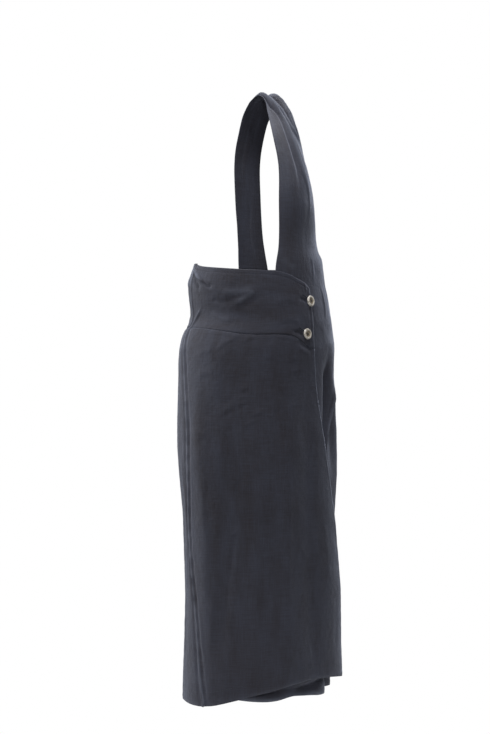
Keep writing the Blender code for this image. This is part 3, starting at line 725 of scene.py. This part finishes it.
def skirtLevel(up):
    # The height at which the ends of a row of a skirt panel's grid are looked up.
    return garment["bandLevel"] + (garment["skirtFoot"] - garment["bandLevel"]) * (1.0 - up)


rightFront = {
    "grid": (150, 262),
    "wall": 0.0012,
    "edgeRidge": 0.0006,
    "edgeHalfWidth": 0.0025,
    "cut": (0.36, 0.68),       # flat size of the panel that shows
    "cutShare": 0.93,          # of that rectangle, inside the curved free edge
}


def placeRightFront(across, up):
    level = skirtLevel(up)
    start, end = seamAt("side", level), seamAt("edge", level)
    angle, height, top, hem = panelPlace(frontEdges, "bottom", "hem", start, end, across, up,
                                         garment["seamGap"])
    relief, wearAndHighlight = skirtRelief(angle, height, ("hip", "wrap"))
    stand = seamAt("lift", level) * smooth(garment["liftStart"], 1.0, across)
    fromSide, fromEdge = arc(angle - start), arc(end - angle)
    relief += sideSeamRise(fromSide, height)
    relief += seamRidge(height - hem, "hem") + seamRidge(top - height, "wrapTop")
    relief += rightFront["edgeRidge"] * bell(fromEdge, rightFront["edgeHalfWidth"])
    # Side seam, free edge and hem are painted paler, partly as wear and partly as painted highlight.
    wearAndHighlight = wearAndHighlightAt(wearAndHighlight, fromSide, "sideSeam")
    wearAndHighlight = wearAndHighlightAt(wearAndHighlight, fromEdge, "freeEdge")
    wearAndHighlight = wearAndHighlightAt(wearAndHighlight, height - hem, "hem")
    flat = np.column_stack([arc(angle), height])
    return formPoint(angle, height, stand + relief), flat, wearAndHighlight


rightFrontPiece = clothPiece("rightFrontLinen", "right_front_panel", rightFront["grid"], placeRightFront,
                             linenMaterials["wrap"], rightFront["wall"])


def backRelief(angle, height, fromLeft, fromRight, rightNames):
    # Beside each side seam the back takes on its neighbour's creases, so that the edges meet.
    relief, wearAndHighlight = skirtRelief(angle, height, ("back",))
    leftNames = ("waistband", "hip", "wrap", "leftFront")
    for turn, away, names in ((0.0, fromLeft, leftNames), (-360.0, fromRight, rightNames)):
        beside, besideWearAndHighlight = skirtRelief(angle + turn, height, names)
        near = 1.0 - smooth(0.0, garment["seamBlend"], away)
        relief = relief + (beside - relief) * near
        wearAndHighlight = wearAndHighlight + (besideWearAndHighlight - wearAndHighlight) * near
    return relief, wearAndHighlight


backSkirt = {
    "grid": (176, 232),
    "wall": 0.0012,
    "cut": (0.47, 0.70),
}


def placeBackSkirt(across, up):
    start, end = garment["leftSeam"], seamAt("side", skirtLevel(up)) + 360.0
    angle, height, top, hem = panelPlace(backEdges, "bottom", "hem", start, end, across, up,
                                         garment["seamGap"])
    fromLeft, fromRight = arc(angle - start), arc(end - angle)
    relief, wearAndHighlight = backRelief(angle, height, fromLeft, fromRight, ("hip", "wrap"))
    # The hem is painted paler, partly as wear and partly as painted highlight.
    wearAndHighlight = wearAndHighlightAt(wearAndHighlight, height - hem, "hem")
    relief += seamRidge(fromLeft, "leftSide") + sideSeamRise(fromRight, height)
    relief += seamRidge(height - hem, "hem") + seamRidge(top - height, "backTop")
    flat = np.column_stack([arc(angle), height])
    return formPoint(angle, height, relief), flat, wearAndHighlight


backPiece = clothPiece("backSkirtLinen", "back_skirt_panel", backSkirt["grid"], placeBackSkirt,
                       linenMaterials["wrap"], backSkirt["wall"])


leftFront = {
    "underColumns": 26,        # hidden under the wrap
    "shownColumns": 104,
    "skirtRows": 190,
    "bandRows": 36,
    "bibRows": 130,
    "wall": 0.0012,
    "edgeRidge": 0.0007,
    "edgeHalfWidth": 0.003,
    "cut": (0.42, 1.22),
    "area": 0.38,
}
bibFoot = leftFront["skirtRows"] + leftFront["bandRows"]
leftGrid = (leftFront["underColumns"] + leftFront["shownColumns"], bibFoot + leftFront["bibRows"])


def placeLeftFront(across, up):
    # Skirt and waist lie on the body form, and the bib leaves it for the strip's own lines.
    column, row = across * leftGrid[0], up * leftGrid[1]
    share = (column - leftFront["underColumns"]) / leftFront["shownColumns"]
    bibAngle = garment["bibInner"] + (garment["leftSeam"] - garment["bibInner"]) * share
    underWidth = garment["bibInner"] - garment["underEdge"]
    underAngle = garment["underEdge"] + underWidth * column / leftFront["underColumns"]
    angle = np.where(share < 0.0, underAngle, bibAngle)
    hem, waist, top = (edgeAt(leftEdges, name, angle) for name in ("hem", "bottom", "top"))
    onSkirt = np.clip(row / leftFront["skirtRows"], 0.0, 1.0)
    onBand = np.clip((row - leftFront["skirtRows"]) / leftFront["bandRows"], 0.0, 1.0)
    line = strip["shoulderLine"] * np.clip((row - bibFoot) / leftFront["bibRows"], 0.0, 1.0)
    height = hem + (waist - hem) * onSkirt + (top - waist) * onBand
    relief, wearAndHighlight = skirtRelief(angle, height, ("waistband", "hip", "wrap", "leftFront"))
    relief += foldRise(hollowFold, angle, height)
    relief += seamRidge(arc(garment["leftSeam"] - angle), "leftSide") + seamRidge(height - hem, "hem")
    # Where the left front shows under the wrap, its hem strip gets a pale painted highlight; elsewhere
    # the hem is painted paler as wear and painted highlight.
    wearAndHighlight = np.where(angle < layeredBelow, wearAndHighlightAt(wearAndHighlight, height - hem, "underHemHighlight"),
                      wearAndHighlightAt(wearAndHighlight, height - hem, "hem"))
    points = formPoint(angle, height, leftOut(angle) + relief)

    raised, bibWearAndHighlight = stripRelief(share, line)
    raised += leftFront["edgeRidge"] * sum(bell(away * strip["width"], leftFront["edgeHalfWidth"])
                                           for away in (share, 1.0 - share))
    bib = stripPoint(share, line) + stripNormal(share, line) * raised[:, None]
    bodyRelief, _ = skirtRelief(bibAngle, bib[:, 2], ("waistband", "leftFront"))
    body = formPoint(bibAngle, bib[:, 2], leftOut(bibAngle) + bodyRelief)
    blend = smooth(0.0, strip["blendLines"], line)[:, None]
    onBib = line > 0.0
    points[onBib] = (body + (bib - body) * blend)[onBib]
    # On the bib the crests of gathers and creases are painted paler, partly as rubbed wear and partly as
    # painted highlight.
    wearAndHighlight = np.where(onBib, np.maximum(bibWearAndHighlight, wearAndHighlight * (1.0 - blend[:, 0])), wearAndHighlight)
    flat = np.column_stack([arc(angle), np.where(onBib, top + line * strip["lineStep"], height)])
    return points, flat, wearAndHighlight


def cutLeftFront(across, up):
    # Nothing rises above the waist where the panel lies under the wrap.
    return (across * leftGrid[0] < leftFront["underColumns"]) & (up * leftGrid[1] > bibFoot)


leftPiece = clothPiece("leftFrontLinen", "left_front_panel", leftGrid, placeLeftFront,
                       linenMaterials["under"], leftFront["wall"], cutLeftFront)


band = {
    "frontGrid": (236, 84),
    "backGrid": (220, 60),
    "wall": 0.0018,
    "stitchLine": 0.0085,      # topstitching below the edge
    # Depth and half width of what is pressed in at the topstitching, foot seam and edge.
    "stitchPress": (0.0005, 0.0013),
    "footPress": (0.0004, 0.0015),
    "edgePress": (0.0005, 0.0012),
    "noEnd": 1.0,              # a distance past which an end is not felt
    "frontCut": (0.31, 0.12),
    "backCut": (0.42, 0.12),
    "holeLeft": 0.0190,        # buttonhole, from the button's centre
    "holeRight": 0.0025,
}

# Each button's piece and node, and the angle and height of its centre.
buttons = [
    ("upperButton", "button_upper", -84.5, -0.0240),
    ("lowerButton", "button_lower", -90.5, -0.0860),
]


def bandRelief(fromTop, fromBottom, fromEnd):
    # The band is pressed in along its topstitching, its foot seam and its free edge.
    nearest = np.minimum(fromTop, fromEnd)
    pressed = ((nearest - band["stitchLine"], "stitchPress"), (fromBottom, "footPress"),
               (nearest, "edgePress"))
    return -sum(band[kind][0] * bell(distance, band[kind][1]) for distance, kind in pressed)


def frontBandEnds():
    return seamAt("side", garment["bandLevel"]), seamAt("edge", garment["bandLevel"])


def placeBandFront(across, up):
    start, end = frontBandEnds()
    angle, height, top, bottom = panelPlace(frontEdges, "top", "bottom", start, end, across, up)
    relief, wearAndHighlight = skirtRelief(angle, height, ("waistband", "hip"))
    relief += bandRelief(top - height, height - bottom, arc(end - angle))
    relief += seamRidge(arc(angle - start), "bandSide")
    flat = np.column_stack([height, arc(angle)])
    return formPoint(angle, height, bandProud + relief), flat, wearAndHighlight


def placeBandBack(across, up):
    start, end = garment["leftSeam"], frontBandEnds()[0] + 360.0
    angle, height, top, bottom = panelPlace(backEdges, "top", "bottom", start, end, across, up)
    fromLeft, fromRight = arc(angle - start), arc(end - angle)
    relief, wearAndHighlight = backRelief(angle, height, fromLeft, fromRight, ("waistband", "hip"))
    relief += bandRelief(top - height, height - bottom, band["noEnd"])
    relief += seamRidge(np.minimum(fromLeft, fromRight), "bandSide")
    flat = np.column_stack([height, arc(angle)])
    return formPoint(angle, height, bandProud + relief), flat, wearAndHighlight


def bandPlace(angle, height):
    # Share across and up of the front waistband at an angle and height.
    start, end = frontBandEnds()
    top, bottom = edgeAt(frontEdges, "top", angle), edgeAt(frontEdges, "bottom", angle)
    return (angle - start) / (end - start), (height - bottom) / (top - bottom)


def cutBandFront(across, up):
    # A buttonhole is one row of faces wide, from just beside the button's centre to its left.
    gone = np.zeros(len(across), dtype=bool)
    rowHeight = 1.0 / band["frontGrid"][1]
    for _, _, angle, height in buttons:
        middle, level = bandPlace(angle, height)
        inRow = np.floor(up / rowHeight) == math.floor(level / rowHeight)
        aside = (across - middle) * band["frontCut"][0]
        gone |= inRow & (aside > -band["holeLeft"]) & (aside < band["holeRight"])
    return gone


bandFrontPiece = clothPiece("waistbandFrontLinen", "waistband_front", band["frontGrid"], placeBandFront,
                            linenMaterials["band"], band["wall"], cutBandFront)
bandBackPiece = clothPiece("waistbandBackLinen", "waistband_back", band["backGrid"], placeBandBack,
                           linenMaterials["band"], band["wall"])


backStrap = {
    "grid": (26, 170),
    "wall": 0.0012,
    "width": 0.06,             # about, for the ridges along its edges
    "edgeRidge": 0.0006,
    "edgeHalfWidth": 0.003,
    "cut": (0.055, 0.43),
}


def placeBackStrap(across, up):
    first = strip["shoulderLine"] + garment["seamGap"] / strip["lineStep"]
    line = first + (strip["endLine"] - first) * up
    raised, wearAndHighlight = stripRelief(across, line)
    fromEdge = np.minimum(across, 1.0 - across) * backStrap["width"]
    raised += backStrap["edgeRidge"] * bell(fromEdge, backStrap["edgeHalfWidth"])
    points = stripPoint(across, line) + stripNormal(across, line) * raised[:, None]
    flat = np.column_stack([across * backStrap["cut"][0], line * strip["lineStep"]])
    return points, flat, wearAndHighlight


strapPiece = clothPiece("backStrapLinen", "back_strap", backStrap["grid"], placeBackStrap,
                        linenMaterials["under"], backStrap["wall"])


# Pearly polyester button, cast and polished: a broad pale rim round a sunk, brownish middle.
buttonLook = {
    "width": 0.0205,
    "height": 0.0034,
    "seat": 0.0006,            # from the waistband's face to the button's back
    "rim": 0.0040,
    "dish": 0.0011,
    "hole": 0.0019,
    "holePitch": 0.0040,
    "segments": 64,
    "sharpAngle": 38.0,
    # The swirled material of each part, dark and pale.
    "middle": ("#5a5042", "#857a68"),
    "outside": ("#857f75", "#b9b5ae"),
    "swirl": 1.0 / 260.0,      # size of the swirls in m
    "roughness": 0.24,
}

# Spun polyester thread, twisted from three plies: dark, with a soft shine.
thread = {
    "colour": "#20232c",
    "radius": 0.00022,
    "stitchLength": 0.0026,
    "stitchPitch": 0.0034,
    "edgeInset": 0.0060,       # topstitching of the free edges
    "hemHeight": 0.0250,
    "satinLength": 0.0020,     # buttonhole stitches
    "satinPitch": 0.00045,
    "strandRadius": 0.00024,   # the thicker thread that holds a button
    "strandPitch": 0.00042,
    "strandBow": 0.0007,       # from its ends to its middle
    "strandReach": 1.05,       # from the button's centre, past the holes' centres
    "strandSunk": 0.0003,
    "strandOverlap": 1.5,      # length of its links over their pitch
    "shankRadius": 0.0022,     # thread wound under the button
    "shankPitch": 0.00035,
    "shankStart": -0.0005,     # below the button's back
    "shankStitch": 0.0011,
    "roughness": 0.50,
}


def newPiece(name, bm, material):
    for face in bm.faces:
        face.smooth = True
    made = newObject(name, bm, material)
    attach(made, "root")
    return made


def buttonMaterial():
    made, tree = newMaterial("pearlyPolyester")
    place = addNode(tree, "Attribute", {"attribute_name": "fromCentre"}).outputs["Fac"]
    spot = addNode(tree, "TexCoord").outputs["Object"]
    clouds = addNode(tree, "TexNoise", inputs={
        "Vector": spot, "Scale": 1.0 / buttonLook["swirl"], "Detail": 3.0}).outputs["Fac"]
    swirl = addNode(tree, "MapRange", inputs={"Value": clouds, "From Min": 0.35, "From Max": 0.65})
    parts = []
    for part in ("middle", "outside"):
        shade, pale = (linear(code) for code in buttonLook[part])
        mixed = addNode(tree, "MixRGB", inputs={"Fac": swirl.outputs[0], "Color1": shade, "Color2": pale})
        parts.append(mixed.outputs[0])
    edge = 1.0 - buttonLook["rim"] / (buttonLook["width"] / 2.0)
    inRim = addNode(tree, "MapRange", inputs={
        "Value": place, "From Min": edge - 0.05, "From Max": edge + 0.05}).outputs[0]
    colour = addNode(tree, "MixRGB", inputs={"Fac": inRim, "Color1": parts[0], "Color2": parts[1]})
    shader = addNode(tree, "BsdfPrincipled", inputs={
        "Base Color": colour.outputs[0], "Roughness": buttonLook["roughness"], "IOR": 1.55,
        "Coat Weight": 0.4, "Coat Roughness": 0.12})
    addNode(tree, "OutputMaterial", inputs={"Surface": shader.outputs[0]})
    return made


def threadMaterial():
    made, tree = newMaterial("polyesterThread")
    spot = addNode(tree, "TexCoord").outputs["Object"]
    plies = addNode(tree, "TexNoise", inputs={"Vector": spot, "Scale": 1800.0, "Detail": 1.0})
    twist = addNode(tree, "Bump", inputs={
        "Strength": 0.5, "Distance": 0.0001, "Height": plies.outputs["Fac"]})
    shader = addNode(tree, "BsdfPrincipled", inputs={
        "Base Color": linear(thread["colour"]), "Roughness": thread["roughness"],
        "Specular IOR Level": 0.3, "Normal": twist.outputs["Normal"]})
    addNode(tree, "OutputMaterial", inputs={"Surface": shader.outputs[0]})
    return made


def surfaceFrame(placeOf, across, up, step=0.004):
    # Point, direction across, direction up and normal of a cloth piece at each place.
    point = placeOf(across, up)[0]
    right = placeOf(across + step, up)[0] - placeOf(across - step, up)[0]
    rise = placeOf(across, up + step)[0] - placeOf(across, up - step)[0]
    normal = np.cross(right, rise)
    return point, [v / np.linalg.norm(v, axis=1)[:, None] for v in (right, rise, normal)]


def addStitch(bm, centre, along, normal, length, radius):
    side = normal.cross(along).normalized()
    turn = Matrix((along * length / 2.0, side * radius, normal * radius)).transposed().to_4x4()
    bmesh.ops.create_icosphere(bm, subdivisions=1, radius=1.0, matrix=Matrix.Translation(centre) @ turn)


def sewRow(bm, placeOf, across, up):
    # Stitches lie in a row along a line on the cloth, each half sunk in it.
    points, (_, _, normals) = surfaceFrame(placeOf, *np.broadcast_arrays(across, up))
    length, pitch = thread["stitchLength"], thread["stitchPitch"]
    gaps = np.linalg.norm(np.diff(points, axis=0), axis=1)
    reach = np.concatenate([[0.0], np.cumsum(gaps)])

    def between(values, place):
        return Vector([np.interp(place, reach, values[:, axis]) for axis in range(3)])

    for place in np.arange(pitch / 2.0, reach[-1], pitch):
        start, end = between(points, place - length / 2.0), between(points, place + length / 2.0)
        normal = between(normals, place).normalized()
        addStitch(bm, (start + end) / 2.0, (end - start).normalized(), normal, length, thread["radius"])


def buttonFrame(angle, height):
    # The button sits on the waistband's form, square to it over a few mm each way.
    spots = formPoint(angle + np.array([0.0, 3.0, -3.0, 0.0, 0.0]),
                      height + np.array([0.0, 0.0, 0.0, 0.01, -0.01]),
                      bandProud + np.array([buttonLook["seat"], 0.0, 0.0, 0.0, 0.0]))
    across = Vector(spots[1] - spots[2]).normalized()
    outward = across.cross(Vector(spots[3] - spots[4])).normalized()
    turn = Matrix((across, outward.cross(across), outward)).transposed().to_4x4()
    return Matrix.Translation(Vector(spots[0])) @ turn


def makeButton(name, node, angle, height, material):
    # A spun profile with four holes through it, set down in its place on the waistband.
    radius, top = buttonLook["width"] / 2.0, buttonLook["height"]
    inner, dish = radius - buttonLook["rim"], top - buttonLook["dish"]
    profile = [
        (0.0, 0.0), (radius - 0.0009, 0.0), (radius - 0.0002, 0.0004), (radius, 0.0012),
        (radius - 0.0001, 0.0021), (radius - 0.0006, 0.0029), (radius - 0.0015, top),
        (radius - 0.0027, top), (radius - 0.0038, 0.0030), (inner, dish + 0.0002),
        (inner - 0.0005, dish), (0.0, dish - 0.0001),
    ]
    bm = bmesh.new()
    verts = [bm.verts.new((x, 0.0, z)) for x, z in profile]
    edges = [bm.edges.new(pair) for pair in zip(verts, verts[1:])]
    bmesh.ops.spin(bm, geom=verts + edges, cent=(0.0, 0.0, 0.0), axis=(0.0, 0.0, 1.0),
                   angle=2.0 * math.pi, steps=buttonLook["segments"], use_merge=True)
    bmesh.ops.remove_doubles(bm, verts=bm.verts[:], dist=0.00001)
    bmesh.ops.recalc_face_normals(bm, faces=bm.faces[:])
    layer = bm.verts.layers.float.new("fromCentre")
    for vert in bm.verts:
        vert[layer] = math.hypot(vert.co.x, vert.co.y) / radius
    made = newPiece(name, bm, material)

    cutter = bmesh.new()
    half, drill = buttonLook["holePitch"] / 2.0, buttonLook["hole"] / 2.0
    for x in (-half, half):
        for y in (-half, half):
            bmesh.ops.create_cone(cutter, cap_ends=True, segments=20, radius1=drill, radius2=drill,
                                  depth=2.0 * top, matrix=Matrix.Translation((x, y, top / 2.0)))
    rods = newObject(name + "Holes", cutter)
    cut = made.modifiers.new("holes", "BOOLEAN")
    cut.operation = "DIFFERENCE"
    cut.object = rods
    bpy.context.view_layer.update()
    drilled = bpy.data.meshes.new_from_object(made.evaluated_get(bpy.context.evaluated_depsgraph_get()))
    made.modifiers.clear()
    made.data = drilled
    bpy.data.objects.remove(rods)
    drilled.transform(buttonFrame(angle, height))
    drilled.set_sharp_from_angle(angle=math.radians(buttonLook["sharpAngle"]))
    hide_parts(node)


def sewButton(bm, angle, height):
    # Strands crossed through the holes, and a short shank wound under the button.
    placed = buttonFrame(angle, height)
    turned = placed.to_3x3()
    radius, upwards = thread["strandRadius"], Vector((0.0, 0.0, 1.0))
    half = buttonLook["holePitch"] / 2.0
    level = buttonLook["height"] - buttonLook["dish"] - thread["strandSunk"]
    for x, y in ((half, half), (half, -half)):
        middle = Vector((x, y, 0.0))
        aside = Vector((-y, x, 0.0)).normalized()
        for strand in (-1.0, 0.0, 1.0):
            bow = [middle * s + aside * strand * thread["strandPitch"]
                   + upwards * (level + thread["strandBow"] * (1.0 - s ** 4))
                   for s in np.linspace(-thread["strandReach"], thread["strandReach"], 9)]
            for start, end in zip(bow, bow[1:]):
                addStitch(bm, placed @ ((start + end) / 2.0), turned @ (end - start).normalized(),
                          turned @ upwards, (end - start).length * thread["strandOverlap"], radius)
    rings, stitches = 3, 18
    for ring in range(rings):
        for step in range(stitches):
            swing = step * math.tau / stitches
            outwards = Vector((math.cos(swing), math.sin(swing), 0.0))
            run = Vector((-math.sin(swing), math.cos(swing), 0.0))
            spot = (outwards * thread["shankRadius"]
                    + upwards * (thread["shankStart"] + ring * thread["shankPitch"]))
            addStitch(bm, placed @ spot, turned @ run, turned @ spot.normalized(),
                      thread["shankStitch"], radius)


def sewButtonhole(bm, angle, height):
    # Close satin stitches over both lips of the slit, and a bar across its far end.
    middle, level = bandPlace(angle, height)
    rowHeight = 1.0 / band["frontGrid"][1]
    slit = (math.floor(level / rowHeight) + 0.5) * rowHeight
    left = middle - band["holeLeft"] / band["frontCut"][0]
    right = middle + band["holeRight"] / band["frontCut"][0]
    lip = 0.5 * rowHeight + 0.5 * thread["satinLength"] / bandHeight
    count = int((band["holeLeft"] + band["holeRight"]) / thread["satinPitch"])
    lips = np.linspace(left, right, count)
    barHalf, barStitches = 1.6 * lip, 7
    bar = np.linspace(slit - barHalf, slit + barHalf, barStitches)
    # Each row: where it lies, and which of the cloth's directions its stitches follow.
    for across, up, follow in ((lips, slit - lip, 1), (lips, slit + lip, 1), (left, bar, 0)):
        points, directions = surfaceFrame(placeBandFront, *np.broadcast_arrays(across, up))
        for place in zip(points, directions[follow], directions[2]):
            addStitch(bm, *(Vector(part) for part in place), thread["satinLength"], thread["radius"])


buttonStuff = buttonMaterial()
threadStuff = threadMaterial()
sewing = bmesh.new()
for name, node, angle, height in buttons:
    makeButton(name, node, angle, height, buttonStuff)
    sewButton(sewing, angle, height)
    sewButtonhole(sewing, angle, height)
newPiece("buttonThread", sewing, threadStuff)
print("buttons made")

# Topstitching: how its rows run, and the rough sizes in m that turn an inset into a share.
rows = {
    "spots": 260,
    "endSpots": 60,
    "last": 0.996,             # share of an edge at which its row stops
    "wrapWidth": 0.34,
    "skirtHeight": 0.68,
    "leftHeight": 1.08,
    "bibWidth": 0.085,
    "strapInset": 0.10,        # shares of the strap's width and the waistband's height
    "bandFoot": 0.02,
    "endStart": 0.03,
    "bandEnd": 0.975,          # share of the waistband's width, beside its rounded end
}
along = np.linspace(1.0 - rows["last"], rows["last"], rows["spots"])
bibStart = bibFoot / leftGrid[1]
bibUp = bibStart + (rows["last"] - bibStart) * along
bibLeft = leftFront["underColumns"] / leftGrid[0]
bibInset = (1.0 - bibLeft) * thread["edgeInset"] / rows["bibWidth"]
hemUp = thread["hemHeight"] / rows["skirtHeight"]
bandTop = 1.0 - band["stitchLine"] / bandHeight

# Each piece of stitching: its rows, as the cloth and the shares across and up of the row.
stitching = {
    "skirtStitching": [
        (placeRightFront, 1.0 - thread["edgeInset"] / rows["wrapWidth"], along),
        (placeRightFront, along, hemUp),
        (placeBackSkirt, along, hemUp),
        (placeLeftFront, along, thread["hemHeight"] / rows["leftHeight"]),
    ],
    "bibStitching": [
        (placeLeftFront, bibLeft + bibInset, bibUp),
        (placeLeftFront, 1.0 - bibInset, bibUp),
        (placeBackStrap, rows["strapInset"], along),
        (placeBackStrap, 1.0 - rows["strapInset"], along),
    ],
    "waistbandStitching": [
        (placeBandFront, along * rows["bandEnd"], bandTop),
        (placeBandFront, rows["bandEnd"], np.linspace(rows["endStart"], bandTop, rows["endSpots"])),
        (placeBandFront, along, rows["bandFoot"]),
        (placeBandBack, along, bandTop),
        (placeBandBack, along, rows["bandFoot"]),
    ],
}
for name, sewn in stitching.items():
    sewing = bmesh.new()
    for placeOf, across, up in sewn:
        sewRow(sewing, placeOf, across, up)
    newPiece(name, sewing, threadStuff)
print("sewing done")


stage = {
    "floorHeight": -1.10,
    "floorRadius": 1.1,
    "floorColour": "#d2d2d2",
    "ambient": 0.18,           # light from the dim side of the studio
    "backdropLight": 0.70,     # and from the white backdrop behind the garment
    "backdropDirection": (0.387, 0.922, 0.0),
    "backdropEdge": (-0.1, 0.5),     # cosines between which its light rises
    "whiteness": 1.0,          # the backdrop as the camera sees it
}

bm = bmesh.new()
bmesh.ops.create_circle(bm, cap_ends=True, segments=96, radius=stage["floorRadius"],
                        matrix=Matrix.Translation((0.0, 0.0, stage["floorHeight"])))
# Pale uncoated paper: wholly matt.
paper, paperTree = newMaterial("matPaper")
paperShader = addNode(paperTree, "BsdfPrincipled", inputs={
    "Base Color": linear(stage["floorColour"]), "Roughness": 0.95, "Specular IOR Level": 0.0})
addNode(paperTree, "OutputMaterial", inputs={"Surface": paperShader.outputs[0]})
newObject("studioFloor", bm, paper)

world = bpy.data.worlds.new("whiteStudio")
world.use_nodes = True
sky = world.node_tree.nodes["Background"]
sky.inputs["Color"].default_value = (1.0, 1.0, 1.0, 1.0)
direction = addNode(world.node_tree, "TexCoord").outputs["Generated"]
behind = addNode(world.node_tree, "VectorMath", {"operation": "DOT_PRODUCT"},
                 {0: direction, 1: stage["backdropDirection"]})
dimmest, brightest = stage["backdropEdge"]
backdrop = addNode(world.node_tree, "MapRange", {"interpolation_type": "SMOOTHSTEP"}, {
    "Value": behind.outputs["Value"], "From Min": dimmest, "From Max": brightest,
    "To Min": stage["ambient"], "To Max": stage["backdropLight"]})
ray = addNode(world.node_tree, "LightPath")
strength = addNode(world.node_tree, "MapRange", inputs={
    "Value": ray.outputs["Is Camera Ray"], "To Min": backdrop.outputs[0], "To Max": stage["whiteness"]})
world.node_tree.links.new(strength.outputs[0], sky.inputs["Strength"])
bpy.context.scene.world = world

# Each softbox: place, target, size, power. The camera looks from the wearer's right front.
softboxes = {
    "topSoftbox": ((-0.8, -0.7, 3.0), (0.0, 0.0, 0.0), 1.0, 110.0),
    "sideSoftbox": ((-1.9, 2.6, 0.8), (0.0, 0.0, -0.3), 0.8, 108.0),
    "shoulderSoftbox": ((0.9, 0.3, 2.5), (0.05, 0.0, 0.3), 0.4, 84.0),
    "frontSoftbox": ((-1.9, -1.8, 0.6), (0.0, 0.0, -0.4), 0.8, 31.0),
}
for name, (place, target, size, power) in softboxes.items():
    light = bpy.data.lights.new(name, "AREA")
    light.shape = "SQUARE"
    light.size = size
    light.energy = power
    lamp = bpy.data.objects.new(name, light)
    lamp.location = place
    lamp.rotation_euler = (Vector(target) - Vector(place)).to_track_quat("-Z", "Y").to_euler()
    bpy.context.scene.collection.objects.link(lamp)

camera = {
    "turn": -47.0,             # degrees round the garment, from straight in front
    "distance": 3.33,
    "shiftRight": -0.025,
    "height": -0.148,
    "lens": 85.0,
    "sensor": 36.0,
}
turn = math.radians(camera["turn"])
towards = Vector((math.sin(turn), -math.cos(turn), 0.0))
rightwards = Vector((math.cos(turn), math.sin(turn), 0.0))
cameraData = bpy.data.cameras.new("photoCamera")
cameraData.lens = camera["lens"]
cameraData.sensor_width = camera["sensor"]
cameraObject = bpy.data.objects.new("photoCamera", cameraData)
cameraObject.location = (towards * camera["distance"] + rightwards * camera["shiftRight"]
                         + Vector((0.0, 0.0, camera["height"])))
cameraObject.rotation_euler = (math.pi / 2.0, 0.0, turn)
bpy.context.scene.collection.objects.link(cameraObject)
bpy.context.scene.camera = cameraObject
bpy.context.scene.view_settings.view_transform = "Standard"
bpy.context.scene.view_settings.look = "None"
print("camera and lights set")
